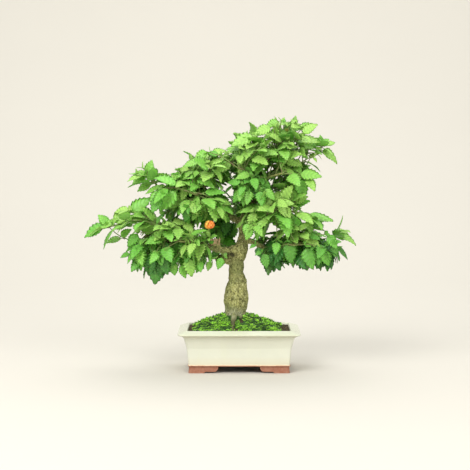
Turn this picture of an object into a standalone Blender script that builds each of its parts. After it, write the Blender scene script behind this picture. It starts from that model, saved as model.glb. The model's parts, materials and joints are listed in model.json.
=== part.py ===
"""Lantana bonsai growing in its cream glazed rectangular pot. Metres, +Z up, at real size."""

import math
import random

import bpy
from mathutils import Vector, noise
from mathutils.bvhtree import BVHTree

# All shapes are worked out round the pot's centre, and stand here so that the origin is
# under the middle of the whole tree
PLACE = Vector((0.0267, -0.0045, 0.0))
GAP = 0.0003
# How far a cutter runs past what it cuts
CUT = 0.002
SEED = 11
# Seed of the vector noise that shifts the ground's points, which is drawn anew each run without one
NOISE_SEED = 1796069838

# Pot: half sizes at the lip, and the heights of its foot, floor, shoulder and rim
LIP_HALF_X = 0.0997
LIP_HALF_Y = 0.0650
FOOT_HEIGHT = 0.0110
FLOOR_TOP = 0.0185
SHOULDER_HEIGHT = 0.0576
LIP_HEIGHT = 0.0640
RIM_HEIGHT = 0.0694
CORNER_RADIUS = 0.009
CORNER_STEPS = 2
# Pot wall profile: (inset from the lip, height), outside from the foot up, then down inside
POT_OUTSIDE = (
    (0.0162, FOOT_HEIGHT),
    (0.0178, FOOT_HEIGHT + 0.0024),
    (0.0150, SHOULDER_HEIGHT * 0.70),
    (0.0102, SHOULDER_HEIGHT),
    (0.0074, SHOULDER_HEIGHT + 0.0024),
    (0.0010, LIP_HEIGHT - 0.0012),
    (0.0000, LIP_HEIGHT),
    (0.0075, LIP_HEIGHT + 0.0028),
    (0.0145, RIM_HEIGHT),
)
POT_INSIDE = ((0.0162, RIM_HEIGHT - 0.0006), (0.0175, LIP_HEIGHT), (0.0235, FLOOR_TOP))
# Feet: where the flat of each corner foot ends, where its raised step ends, and the arch
FOOT_X = (0.0560, 0.0400, 0.0335)
FOOT_Y = (0.0300, 0.0200, 0.0140)
FOOT_STEP = 0.0024
FOOT_INSET = 0.0188
FOOT_SPLAY = 0.0012
WELL_INSET = 0.0272
ARCH_STEPS = 3
# Drain holes, the mesh squares over them and the wire clips that hold those
DRAIN_X = 0.042
DRAIN_RADIUS = 0.007
DRAIN_SIDES = 10
MESH_CELL = 0.0042
MESH_BAR = 0.0018
MESH_OPENINGS = 3
MESH_THICKNESS = 0.0012
CLIP_RADIUS = 0.0005
CLIP_LEG = 0.0057
CLIP_BEND = 0.0013
CLIP_REACH = 0.0095

# Soil mound: its height at the pot's wall and at its peak, where the peak is, how steeply
# and how squarely it falls, and the pitch of its grid
SOIL_EDGE = 0.0662
MOUND_TOP = 0.0922
MOUND_X = -0.005
MOUND_INSET = 0.018
MOUND_FALL = 1.25
MOUND_SQUARE = 2.2
SOIL_GRID = 0.0170
SOIL_CORNER = 0.0014
SOIL_ROUGHNESS = 0.0013
SOIL_JITTER = 0.004
MOSS_THICKNESS = 0.0036
MOSS_LUMP = 0.0026

# Trunk: (x, y, height, radius) up its bends and its two bulges
TRUNK = (
    (-0.004, 0.003, 0.0525, 0.0170),
    (-0.005, 0.002, 0.0763, 0.0205),
    (-0.006, 0.000, 0.0922, 0.0176),
    (-0.005, 0.000, 0.1041, 0.0188),
    (-0.005, 0.000, 0.1159, 0.0200),
    (-0.005, 0.000, 0.1288, 0.0190),
    (-0.003, 0.000, 0.1417, 0.0160),
    (-0.003, 0.000, 0.1516, 0.0130),
    (-0.006, 0.000, 0.1605, 0.0106),
    (-0.006, 0.000, 0.1744, 0.0106),
    (-0.001, 0.000, 0.1873, 0.0122),
    (0.004, 0.000, 0.2001, 0.0114),
    (0.005, 0.000, 0.2091, 0.0086),
    (0.005, 0.000, 0.2210, 0.0060),
    (0.004, 0.001, 0.2328, 0.0056),
    (0.003, 0.002, 0.2447, 0.0058),
)
TRUNK_SIDES = 10
BRANCH_SIDES = 5
ROOT_SIDES = 5
BARK_RELIEF = 0.12
THICK_BRANCH = 0.0034
# Roots spreading from the trunk's foot, the first showing on the mound
ROOTS = (
    (
        (-0.006, -0.008, 0.0932, 0.0060), (-0.008, -0.022, 0.0902, 0.0046),
        (-0.010, -0.036, 0.0823, 0.0036), (-0.010, -0.048, 0.0704, 0.0026),
    ),
    (
        (-0.010, -0.004, 0.0882, 0.0060), (-0.028, -0.010, 0.0823, 0.0046),
        (-0.048, -0.014, 0.0684, 0.0030),
    ),
    (
        (-0.002, -0.004, 0.0882, 0.0060), (0.018, -0.014, 0.0823, 0.0044),
        (0.039, -0.020, 0.0664, 0.0028),
    ),
    (
        (-0.002, 0.006, 0.0882, 0.0060), (0.016, 0.020, 0.0823, 0.0044),
        (0.034, 0.034, 0.0644, 0.0028),
    ),
    (
        (-0.010, 0.006, 0.0882, 0.0060), (-0.024, 0.022, 0.0803, 0.0044),
        (-0.038, 0.036, 0.0625, 0.0028),
    ),
)
# Main branches: the same, from the trunk outwards
BRANCHES = {
    "left_low": (
        (0.000, 0.000, 0.1902, 0.0088), (-0.018, -0.008, 0.1942, 0.0076),
        (-0.034, -0.014, 0.1977, 0.0060), (-0.050, -0.018, 0.2031, 0.0048),
        (-0.070, -0.022, 0.2071, 0.0040), (-0.093, -0.024, 0.2120, 0.0032),
        (-0.116, -0.020, 0.2160, 0.0026), (-0.138, -0.014, 0.2190, 0.0019),
        (-0.154, -0.010, 0.2190, 0.0013),
    ),
    "stub": (
        (-0.034, -0.014, 0.1982, 0.0056), (-0.034, -0.018, 0.2091, 0.0046),
        (-0.037, -0.021, 0.2160, 0.0036),
    ),
    "left_back": (
        (-0.006, 0.002, 0.1813, 0.0068), (-0.028, 0.014, 0.1823, 0.0052),
        (-0.046, 0.028, 0.1833, 0.0042), (-0.065, 0.042, 0.1883, 0.0033),
        (-0.085, 0.052, 0.1962, 0.0026), (-0.111, 0.056, 0.2081, 0.0014),
    ),
    "right_low": (
        (0.004, 0.000, 0.2120, 0.0062), (0.022, -0.004, 0.2101, 0.0046),
        (0.038, -0.008, 0.2021, 0.0042), (0.051, -0.010, 0.2016, 0.0036),
        (0.067, -0.010, 0.2066, 0.0030), (0.087, -0.006, 0.2091, 0.0026),
        (0.109, 0.000, 0.2120, 0.0021), (0.130, 0.006, 0.2101, 0.0017),
        (0.144, 0.010, 0.2071, 0.0012),
    ),
    "up_left": (
        (0.003, 0.001, 0.2418, 0.0058), (-0.013, 0.005, 0.2497, 0.0056),
        (-0.026, 0.009, 0.2626, 0.0046), (-0.046, 0.009, 0.2695, 0.0037),
        (-0.067, 0.004, 0.2744, 0.0031), (-0.091, -0.002, 0.2804, 0.0025),
        (-0.113, -0.006, 0.2883, 0.0018), (-0.129, -0.008, 0.2933, 0.0012),
    ),
    "up_centre": (
        (0.003, 0.001, 0.2427, 0.0054), (0.012, -0.002, 0.2586, 0.0047),
        (0.022, -0.002, 0.2715, 0.0043), (0.031, 0.000, 0.2843, 0.0040),
        (0.034, 0.002, 0.3002, 0.0036), (0.032, 0.000, 0.3160, 0.0030),
        (0.037, -0.003, 0.3319, 0.0025), (0.049, -0.005, 0.3477, 0.0020),
        (0.065, -0.004, 0.3616, 0.0014),
    ),
    "right_mid": (
        (0.004, 0.000, 0.2393, 0.0050), (0.020, -0.012, 0.2497, 0.0036),
        (0.037, -0.024, 0.2586, 0.0030), (0.055, -0.034, 0.2626, 0.0024),
        (0.074, -0.042, 0.2635, 0.0014),
    ),
    "back": (
        (0.004, 0.002, 0.2368, 0.0048), (0.008, 0.022, 0.2467, 0.0036),
        (0.010, 0.044, 0.2546, 0.0028), (0.004, 0.062, 0.2606, 0.0016),
    ),
}
# Side branches that fill each foliage pad to the front and to the back
SIDE_BRANCHES = {
    "left_low_front": (
        (-0.065, -0.021, 0.2061, 0.0030), (-0.077, -0.040, 0.2110, 0.0023),
        (-0.097, -0.058, 0.2150, 0.0013),
    ),
    "left_low_top": (
        (-0.093, -0.024, 0.2120, 0.0026), (-0.111, -0.022, 0.2269, 0.0020),
        (-0.136, -0.018, 0.2378, 0.0012),
    ),
    "right_low_front": (
        (0.059, -0.010, 0.2041, 0.0027), (0.071, -0.030, 0.2071, 0.0020),
        (0.091, -0.050, 0.2081, 0.0012),
    ),
    "right_low_back": (
        (0.077, -0.008, 0.2081, 0.0024), (0.085, 0.016, 0.2110, 0.0019),
        (0.101, 0.040, 0.2130, 0.0012),
    ),
    "up_left_front": (
        (-0.036, 0.009, 0.2665, 0.0030), (-0.053, -0.014, 0.2794, 0.0022),
        (-0.079, -0.038, 0.2923, 0.0012),
    ),
    "up_left_back": (
        (-0.051, 0.008, 0.2715, 0.0029), (-0.065, 0.030, 0.2834, 0.0021),
        (-0.087, 0.050, 0.2943, 0.0012),
    ),
    "up_left_top": (
        (-0.055, 0.008, 0.2715, 0.0027), (-0.061, 0.004, 0.2903, 0.0020),
        (-0.051, -0.002, 0.3141, 0.0012),
    ),
    "crown_right": (
        (0.033, 0.001, 0.2913, 0.0033), (0.057, 0.010, 0.2982, 0.0025),
        (0.095, 0.014, 0.3012, 0.0012),
    ),
    "crown_front": (
        (0.033, 0.001, 0.3061, 0.0029), (0.047, -0.020, 0.3151, 0.0022),
        (0.069, -0.042, 0.3230, 0.0012),
    ),
    "crown_back": (
        (0.033, 0.001, 0.3101, 0.0028), (0.047, 0.022, 0.3210, 0.0021),
        (0.067, 0.044, 0.3299, 0.0012),
    ),
    "crown_left": (
        (0.033, 0.000, 0.3141, 0.0026), (0.018, -0.018, 0.3250, 0.0019),
        (-0.002, -0.036, 0.3309, 0.0012),
    ),
    "crown_left_back": (
        (0.034, 0.000, 0.3240, 0.0024), (0.024, 0.020, 0.3349, 0.0018),
        (0.010, 0.038, 0.3388, 0.0012),
    ),
    "crown_top": (
        (0.041, -0.004, 0.3378, 0.0022), (0.063, 0.002, 0.3448, 0.0018),
        (0.095, 0.004, 0.3517, 0.0012),
    ),
    "back_right": (
        (0.009, 0.034, 0.2517, 0.0026), (0.028, 0.052, 0.2586, 0.0019),
        (0.043, 0.064, 0.2616, 0.0012),
    ),
}

# Foliage pads: centre and half sizes of the shell where shoot tips end, its rise per metre
# to the right, the number of shoots, how far leaves droop, leaf length, and the branches
PADS = {
    "crown_top": ((0.062, 0.000, 0.370), (0.046, 0.044, 0.016), 0.20, 5, 0.35, 0.040,
                  ("up_centre", "crown_front", "crown_back", "crown_top")),
    "crown_left": ((0.006, 0.000, 0.356), (0.046, 0.046, 0.018), 0.30, 4, 0.50, 0.040,
                   ("up_centre", "crown_left", "crown_left_back", "up_left_top")),
    "crown_right": ((0.088, 0.000, 0.322), (0.030, 0.046, 0.024), 0.00, 3, 0.70, 0.038,
                    ("crown_right", "crown_front", "crown_back")),
    "upper_left": ((-0.082, 0.000, 0.314), (0.060, 0.052, 0.020), 0.30, 6, 0.60, 0.040,
                   ("up_left", "up_left_front", "up_left_back", "up_left_top")),
    "middle_left": ((-0.066, -0.016, 0.270), (0.050, 0.040, 0.012), 0.10, 3, 0.60, 0.038,
                    ("up_left", "up_left_front", "up_left_back")),
    "lower_left": ((-0.118, -0.002, 0.202), (0.062, 0.054, 0.022), 0.00, 7, 1.00, 0.041,
                   ("left_low", "left_low_front", "left_low_top", "left_back")),
    "lower_right": ((0.096, 0.000, 0.204), (0.062, 0.046, 0.016), 0.00, 5, 1.00, 0.040,
                    ("right_low", "right_low_front", "right_low_back")),
    "middle_right": ((0.056, -0.034, 0.258), (0.040, 0.022, 0.014), 0.00, 3, 0.50, 0.042, ("right_mid",)),
    "back": ((0.020, 0.046, 0.268), (0.046, 0.024, 0.014), 0.00, 2, 0.80, 0.040, ("back", "back_right")),
}
PAD_DEPTH = 1.6
# Single long shoots that break the outline: start, tip, droop and leaf length
SHOOTS = {
    "far_left": ((-0.134, -0.018, 0.2373), (-0.222, -0.024, 0.2310), 0.25, 0.044),
    "left_mid": ((-0.114, -0.022, 0.2284), (-0.172, -0.046, 0.2480), 0.10, 0.036),
    "left_top": ((-0.126, -0.008, 0.2923), (-0.150, -0.024, 0.3180), 0.40, 0.036),
    "top": ((0.063, -0.004, 0.3601), (0.078, -0.006, 0.3800), 0.40, 0.034),
    "top_right": ((0.093, 0.004, 0.3512), (0.134, -0.004, 0.3640), 0.50, 0.034),
    "right_mid": ((0.072, -0.042, 0.2635), (0.118, -0.046, 0.2500), 0.10, 0.038),
    "far_right": ((0.142, 0.010, 0.2076), (0.158, 0.004, 0.2250), 0.10, 0.034),
    "flower": ((-0.046, -0.017, 0.2016), (-0.050, -0.042, 0.2200), 0.60, 0.030),
}
SHOOT_RADIUS = 0.0010
TWIG_LENGTH = 0.044
TWIG_RADIUS = (0.0014, 0.0011)
TWIG_SIDES = 4
TWIG_STEPS = 2
# Leaves sit in opposite pairs, each pair a quarter turn on from the last: place along the
# twig and size, from the branch to the tip
LEAF_PAIRS = ((0.38, 1.00), (0.70, 0.94), (0.98, 0.70))
LEAF_WIDTH = 0.65
LEAF_THICKNESS = 0.0012
LEAF_ARCH = 0.22
LEAF_FOLD = 0.28
PETIOLE_LENGTH = 0.0065
PETIOLE_RADIUS = (0.00045, 0.0006)
# One side of the blade: (place along it, half width), teeth and notches in turn
LEAF_EDGE = ((0.12, 0.70), (0.33, 1.00), (0.47, 0.82), (0.67, 0.72))
# Clearances that a leaf or shoot keeps to its neighbours and to the wood, and the tries each gets
LEAF_CLEAR = 0.0004
SEAT_CLEAR = 0.0001
LEAF_TRIES = 14
TWIG_TRIES = 24
TWIG_STRAY = 0.0015

# Flower head on its stalk, the width and length of the space kept open before it, and a
# head of buds: its shoot and the way it faces
FLOWER_AT = (-0.0465, -0.0500, 0.2405)
FLOWER_FACES = (0.05, -0.80, 0.60)
FLOWER_RADIUS = 0.0068
FLORET_COUNT = 10
FLOWER_OPEN = (0.009, 0.055)
FLORET_RADIUS = 0.0027
STALK_RADIUS = 0.0007
BUD_HEADS = (("shoot_top", (0.0, -0.4, 0.9)),)
BUD_COUNT = 5

COLOURS = {
    "glaze": ((0.80, 0.77, 0.67), 0.25),
    "soil": ((0.060, 0.040, 0.026), 0.95),
    "moss": ((0.110, 0.270, 0.030), 0.95),
    "bark": ((0.190, 0.160, 0.095), 0.90),
    "leaf": ((0.090, 0.300, 0.040), 0.50),
    "flower": ((0.850, 0.210, 0.040), 0.55),
    "bud": ((0.420, 0.440, 0.070), 0.60),
    "mesh": ((0.020, 0.020, 0.020), 0.50),
    "wire": ((0.620, 0.620, 0.600), 0.35),
}


def clear_scene():
    for item in list(bpy.data.objects):
        bpy.data.objects.remove(item)


def material(finish, metallic=0.0):
    colour, roughness = COLOURS[finish]
    made = bpy.data.materials.new(finish)
    made.use_nodes = True
    made.diffuse_color = (*colour, 1.0)
    shader = made.node_tree.nodes["Principled BSDF"]
    shader.inputs["Base Color"].default_value = (*colour, 1.0)
    shader.inputs["Roughness"].default_value = roughness
    shader.inputs["Metallic"].default_value = metallic
    return made


# Shapes are (points, faces) pairs until they become objects
def mesh_object(name, shape, finish, metallic=0.0):
    mesh = bpy.data.meshes.new(name)
    mesh.from_pydata([tuple(point) for point in shape[0]], [], shape[1])
    made = bpy.data.objects.new(name, mesh)
    made.location = PLACE
    bpy.context.scene.collection.objects.link(made)
    mesh.materials.append(material(finish, metallic))
    mesh.shade_smooth()
    mesh.set_sharp_from_angle(angle=math.radians(40))
    return made


def settle(made):
    """Applies the object's modifiers."""
    graph = bpy.context.evaluated_depsgraph_get()
    mesh = bpy.data.meshes.new_from_object(made.evaluated_get(graph))
    made.modifiers.clear()
    made.data = mesh


def boolean(made, shapes, operation, solver="EXACT"):
    """Joins to the object, or cuts from it, every one of the shapes with one Boolean."""
    group = bpy.data.collections.new(made.name + "_helpers")
    bpy.context.scene.collection.children.link(group)
    for shape in shapes:
        helper = mesh_object(made.name + "_helper", shape, "soil")
        bpy.context.scene.collection.objects.unlink(helper)
        group.objects.link(helper)
    modifier = made.modifiers.new("join", "BOOLEAN")
    modifier.operation = operation
    modifier.operand_type = "COLLECTION"
    modifier.collection = group
    modifier.solver = solver
    settle(made)
    for helper in list(group.objects):
        bpy.data.objects.remove(helper)
    bpy.data.collections.remove(group)


def lofted(rings, cap_start=True, cap_end=True):
    """Closed shape through rings that hold the same number of points, counted anticlockwise from above."""
    size = len(rings[0])
    points = [point for ring in rings for point in ring]
    faces = []
    for k in range(len(rings) - 1):
        for i in range(size):
            a, b = k * size + i, k * size + (i + 1) % size
            faces += [(a, b, b + size), (a, b + size, a + size)]
    last = (len(rings) - 1) * size
    if cap_start:
        faces.append(tuple(reversed(range(size))))
    if cap_end:
        faces.append(tuple(last + i for i in range(size)))
    return points, faces


# Curves
def smooth_route(route, steps):
    """Points (x, y, z, radius) on a Catmull-Rom curve through the route's own."""
    knots = [Vector(knot) for knot in route]
    knots = [2 * knots[0] - knots[1]] + knots + [2 * knots[-1] - knots[-2]]
    samples = []
    for a, b, c, d in zip(knots, knots[1:], knots[2:], knots[3:]):
        for k in range(steps):
            t = k / steps
            bend = (2 * a - 5 * b + 4 * c - d) * t**2 + (3 * b - a - 3 * c + d) * t**3
            samples.append(0.5 * (2 * b + (c - a) * t + bend))
    return samples + [knots[-2]]


def tube(samples, sides, relief=0.0, grow=0.0):
    """Closed tube through (x, y, z, radius) samples; relief lifts its skin in bark lumps."""
    centres = [Vector(sample[:3]) for sample in samples]
    side = None
    rings = []
    for k, centre in enumerate(centres):
        along = (centres[min(k + 1, len(centres) - 1)] - centres[max(k - 1, 0)]).normalized()
        side = along.orthogonal() if side is None else side - along * side.dot(along)
        side.normalize()
        across = along.cross(side)
        if k in (0, len(centres) - 1):
            centre = centre + along * (grow if k else -grow)
        ring = []
        for i in range(sides):
            turn = 2 * math.pi * i / sides
            out = side * math.cos(turn) + across * math.sin(turn)
            lump = 1 + relief * noise.noise((centres[k] + out * 0.02) * 60)
            ring.append(centre + out * (samples[k][3] * lump + grow))
        rings.append(ring)
    return lofted(rings)


# Pot
def rounded_ring(inset, height, extra=0.0):
    """Rounded rectangle, its sides moved in from the lip's by inset."""
    half_x = LIP_HALF_X - inset - extra
    half_y = LIP_HALF_Y - inset - extra
    radius = max(CORNER_RADIUS - 0.3 * (inset + extra), 0.002)
    ring = []
    for corner in range(4):
        centre_x = (half_x - radius) * (1 if corner in (0, 3) else -1)
        centre_y = (half_y - radius) * (1 if corner < 2 else -1)
        for step in range(CORNER_STEPS + 1):
            turn = math.pi / 2 * (corner + step / CORNER_STEPS)
            out_x, out_y = radius * math.cos(turn), radius * math.sin(turn)
            ring.append(Vector((centre_x + out_x, centre_y + out_y, height)))
    return ring


def arch_cutter(ends, reach, across_x):
    """Bar under the pot whose outline leaves two stepped bracket feet, running along X or Y."""
    foot, step, arch = ends
    half = [(foot + FOOT_STEP / 2, -CUT), (foot, FOOT_STEP * 0.6)]
    half += [(foot - FOOT_STEP, FOOT_STEP), (step, FOOT_STEP)]
    for k in range(1, ARCH_STEPS + 1):
        turn = math.pi / 2 * k / ARCH_STEPS
        rise = FOOT_HEIGHT - FOOT_STEP
        half.append((step - (step - arch) * math.sin(turn), FOOT_STEP + rise * (1 - math.cos(turn))))
    outline = half + [(-x, z) for x, z in reversed(half)]
    rings = []
    for side in (-reach, reach):
        rings.append([Vector((side, x, z)) if across_x else Vector((-x, side, z)) for x, z in outline])
    return lofted(rings)


def cylinder(x, y, radius, low, high, sides):
    turns = [2 * math.pi * i / sides for i in range(sides)]
    ring = [(x + radius * math.cos(turn), y + radius * math.sin(turn)) for turn in turns]
    return lofted([[Vector((*point, z)) for point in ring] for z in (low, high)])


def build_pot():
    rings = [rounded_ring(FOOT_INSET, FOOT_HEIGHT)]
    rings += [rounded_ring(inset, height) for inset, height in POT_OUTSIDE + POT_INSIDE]
    pot = mesh_object("pot", lofted(rings), "glaze")
    apron = lofted([rounded_ring(FOOT_INSET - FOOT_SPLAY, 0.0), rounded_ring(FOOT_INSET, FOOT_HEIGHT + CUT)])
    boolean(pot, [apron], "UNION")
    well = lofted([rounded_ring(WELL_INSET, -CUT), rounded_ring(WELL_INSET, FOOT_HEIGHT)])
    arches = [arch_cutter(FOOT_X, LIP_HALF_X, False), arch_cutter(FOOT_Y, LIP_HALF_X, True)]
    low, high = FOOT_HEIGHT - CUT, FLOOR_TOP + CUT
    drains = [cylinder(x, 0.0, DRAIN_RADIUS, low, high, DRAIN_SIDES) for x in (-DRAIN_X, DRAIN_X)]
    boolean(pot, [well] + arches + drains, "DIFFERENCE")


# Soil and moss share one grid of points over the mound
def soil_height(x, y):
    """Top of the soil: a mound round the trunk that falls to the pot's rim."""
    across = abs(x - MOUND_X) / (LIP_HALF_X - MOUND_INSET)
    deep = abs(y) / (LIP_HALF_Y - MOUND_INSET)
    fall = min(1.0, (across**MOUND_SQUARE + deep**MOUND_SQUARE) ** (1 / MOUND_SQUARE))
    rough = SOIL_ROUGHNESS * noise.noise(Vector((x, y, 0.3)) * 90)
    return SOIL_EDGE + (MOUND_TOP - SOIL_EDGE) * (1 - fall**MOUND_FALL) + rough * (1 - fall**4)


def grid_lines(half, pitch):
    count = max(2, round(2 * half / pitch))
    return [-half + 2 * half * k / count for k in range(count + 1)]


def slab(points_x, points_y, keep, low, high):
    """Closed solid over the kept cells of a grid, between two surfaces that give a point for (i, j)."""
    points, faces, index = [], [], {}

    def corner(i, j, top):
        key = (i, j, top)
        if key not in index:
            index[key] = len(points)
            points.append((high if top else low)(i, j))
        return index[key]

    cells = {(i, j) for i in range(len(points_x) - 1) for j in range(len(points_y) - 1) if keep(i, j)}
    for i, j in sorted(cells):
        around = ((i, j), (i + 1, j), (i + 1, j + 1), (i, j + 1))
        top = [corner(a, b, True) for a, b in around]
        bottom = [corner(a, b, False) for a, b in around]
        faces += [(top[0], top[1], top[2]), (top[0], top[2], top[3])]
        faces += [(bottom[2], bottom[1], bottom[0]), (bottom[3], bottom[2], bottom[0])]
        for k, beyond in enumerate(((i, j - 1), (i + 1, j), (i, j + 1), (i - 1, j))):
            if beyond not in cells:
                n = (k + 1) % 4
                faces += [(top[k], bottom[k], bottom[n]), (top[k], bottom[n], top[n])]
    return points, faces


def soil_limits(height):
    """Half sizes of the pot's inside at a height, less the gap."""
    low, high = POT_INSIDE[2], POT_INSIDE[1]
    inset = low[0] + (high[0] - low[0]) * (height - low[1]) / (high[1] - low[1])
    return LIP_HALF_X - inset - 1.5 * GAP, LIP_HALF_Y - inset - 1.5 * GAP


def inside_pot(x_share, y_share, height):
    """Point at shares of the pot's inside, its corners cut to follow the pot's round ones."""
    half_x, half_y = soil_limits(height)
    if abs(x_share) > 0.999 and abs(y_share) > 0.999:
        half_x -= SOIL_CORNER
        half_y -= SOIL_CORNER
    return x_share * half_x, y_share * half_y


def mound_point(x_share, y_share, lift):
    """Point of the soil's surface at shares of the pot's inside, raised by lift."""
    x, y = inside_pot(x_share, y_share, SOIL_EDGE)
    jitter = noise.noise_vector(Vector((x_share * 5, y_share * 5, 1.7))) * SOIL_JITTER
    inner = (1 - x_share**4) * (1 - y_share**4)
    x += jitter.x * inner
    y += jitter.y * inner
    return Vector((x, y, soil_height(x, y) + lift))


def root_cutters(grow):
    """The trunk's foot and the roots, a little fatter, as they are cut from the soil and the moss."""
    return [tube(smooth_route(TRUNK, 2), TRUNK_SIDES, BARK_RELIEF, grow)] + root_tubes(grow)


def moss_grows(columns, rows):
    """Tells the moss cells from the bare ones: both ends, a strip before the trunk and a spot at the rim."""
    middle, front = columns // 2 - 1, rows // 2

    def grows(i, j):
        at_end = i in (0, columns - 1)
        before_trunk = i == middle and j < front
        return not (at_end or before_trunk or (i, j) == (columns - 3, 0))

    return grows


def build_soil_and_moss():
    half_x, half_y = soil_limits(SOIL_EDGE)
    lines_x = grid_lines(half_x, SOIL_GRID)
    lines_y = grid_lines(half_y, SOIL_GRID)

    def surface(i, j, lift=0.0):
        return mound_point(lines_x[i] / half_x, lines_y[j] / half_y, lift)

    def soil_bottom(i, j):
        return Vector((*inside_pot(lines_x[i] / half_x, lines_y[j] / half_y, FLOOR_TOP), FLOOR_TOP + GAP))

    soil = mesh_object("soil", slab(lines_x, lines_y, lambda i, j: True, soil_bottom, surface), "soil")
    plate = MESH_OPENINGS * (MESH_CELL + MESH_BAR) / 2 + MESH_BAR / 2 + GAP
    pockets = []
    for x in (-DRAIN_X, DRAIN_X):
        ring = [(x - plate, -plate), (x + plate, -plate), (x + plate, plate), (x - plate, plate)]
        top = FLOOR_TOP + MESH_THICKNESS + 2 * CLIP_RADIUS + 4 * GAP
        pockets.append(lofted([[Vector((a, b, z)) for a, b in ring] for z in (FLOOR_TOP - CUT, top)]))
    boolean(soil, root_cutters(GAP) + pockets, "DIFFERENCE", "MANIFOLD")
    draw = random.Random(SEED)
    lumps = {}

    def moss_top(i, j):
        if (i, j) not in lumps:
            edge = i in (0, len(lines_x) - 1) or j in (0, len(lines_y) - 1)
            lumps[(i, j)] = MOSS_THICKNESS * (0.5 if edge else 1.0) + draw.uniform(0, MOSS_LUMP)
        return surface(i, j, lumps[(i, j)])

    grows = moss_grows(len(lines_x) - 1, len(lines_y) - 1)
    carpet = slab(lines_x, lines_y, grows, lambda i, j: surface(i, j, GAP), moss_top)
    moss = mesh_object("moss", carpet, "moss")
    boolean(moss, root_cutters(2 * GAP), "DIFFERENCE", "MANIFOLD")


def build_drains():
    """A square of plastic mesh over each drain hole, and the wire that clips it there."""
    pitch = MESH_CELL + MESH_BAR
    half = MESH_OPENINGS * pitch / 2 + MESH_BAR / 2
    lines = [-half]
    for _ in range(MESH_OPENINGS):
        lines += [lines[-1] + MESH_BAR, lines[-1] + MESH_BAR + MESH_CELL]
    lines.append(lines[-1] + MESH_BAR)
    for side, x in (("left", -DRAIN_X), ("right", DRAIN_X)):
        low = FLOOR_TOP + GAP
        shape = slab(
            lines,
            lines,
            lambda i, j: i % 2 == 0 or j % 2 == 0,
            lambda i, j: Vector((x + lines[i], lines[j], low)),
            lambda i, j: Vector((x + lines[i], lines[j], low + MESH_THICKNESS)),
        )
        mesh_object("drain_mesh_" + side, shape, "mesh")
        over = low + MESH_THICKNESS + CLIP_RADIUS + GAP
        under = FOOT_HEIGHT - CLIP_RADIUS - GAP
        leg = x + CLIP_LEG
        route = [(x + CLIP_REACH, 0.0, under), (leg + CLIP_BEND, 0.0, under), (leg, 0.0, under + CLIP_BEND)]
        route += [(leg, 0.0, over - CLIP_BEND), (leg - CLIP_BEND, 0.0, over)]
        mirrored = [(2 * x - a, b, c) for a, b, c in reversed(route)]
        wire = tube([(*point, CLIP_RADIUS) for point in route + mirrored], 5)
        mesh_object("mesh_clip_" + side, wire, "wire", 1.0)


# Wood
def wood_routes():
    routes = {name: smooth_route(route, 2) for name, route in BRANCHES.items()}
    routes.update({name: smooth_route(route, 2) for name, route in SIDE_BRANCHES.items()})
    return routes


def root_tubes(grow=0.0):
    return [tube(smooth_route(root, 1), ROOT_SIDES, BARK_RELIEF, grow) for root in ROOTS]


def build_wood(routes):
    wood = mesh_object("trunk_and_branches", tube(smooth_route(TRUNK, 2), TRUNK_SIDES, BARK_RELIEF), "bark")
    shapes = root_tubes()
    for name, samples in routes.items():
        kept = [sample for k, sample in enumerate(samples) if k % 2 == 0 or sample[3] > THICK_BRANCH]
        shapes.append(tube(kept, BRANCH_SIDES if name in BRANCHES else TWIG_SIDES, BARK_RELIEF))
    boolean(wood, shapes, "UNION", "MANIFOLD")
    return wood


def shape_of(made):
    """Points and faces of a finished object, round the pot's centre."""
    mesh = made.data
    return [point.co.copy() for point in mesh.vertices], [tuple(face.vertices) for face in mesh.polygons]


# Leaves
def leaf_shape(root, along, blade, face, length, grow=0.0, start=0.0):
    """One leaf as a closed blade, toothed and arched, on a three-sided stalk.

    root is on the twig's axis, along the stalk's direction, blade the blade's and face its upper side's.
    grow thickens it for clearance tests, and start leaves out that much of the stalk.
    """
    base = root + along * PETIOLE_LENGTH
    across = face.cross(blade).normalized()
    up = blade.cross(across).normalized()
    half = length * LEAF_WIDTH / 2
    thick = LEAF_THICKNESS / 2 + grow

    def on_blade(share, side):
        droop = up * (-LEAF_ARCH * length * share**2)
        fold = up * (abs(side) * half * LEAF_FOLD)
        return base + blade * (length * share) + across * (side * (half + grow)) + droop + fold

    left = [on_blade(share, -width) for share, width in LEAF_EDGE]
    right = [on_blade(share, width) for share, width in reversed(LEAF_EDGE)]
    tip = on_blade(1.0 + grow / length, 0.0)
    thin, stalk = PETIOLE_RADIUS[0] + grow, PETIOLE_RADIUS[1] + grow
    side = face.cross(along).normalized()
    rise = along.cross(side)
    foot = root + along * start
    points = [base + (up * 0.5 - across) * stalk, base + (up * 0.5 + across) * stalk, base - up * stalk]
    points += [foot + (rise * 0.5 - side) * thin, foot + (rise * 0.5 + side) * thin, foot - rise * thin]
    points += left + [tip] + right
    points += [on_blade(0.46, 0.0) + up * thick, on_blade(0.46, 0.0) - up * thick]
    rim = [0] + list(range(6, 6 + len(left) + 1 + len(right))) + [1]
    top, bottom = len(points) - 2, len(points) - 1
    faces = [(rim[k], rim[k + 1], top) for k in range(len(rim) - 1)] + [(1, 0, top)]
    faces += [(rim[k + 1], rim[k], bottom) for k in range(len(rim) - 1)] + [(2, 1, bottom), (0, 2, bottom)]
    faces += [(1, 4, 3), (0, 1, 3), (2, 5, 4), (1, 2, 4), (0, 3, 5), (2, 0, 5), (3, 4, 5)]
    return points, faces


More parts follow.
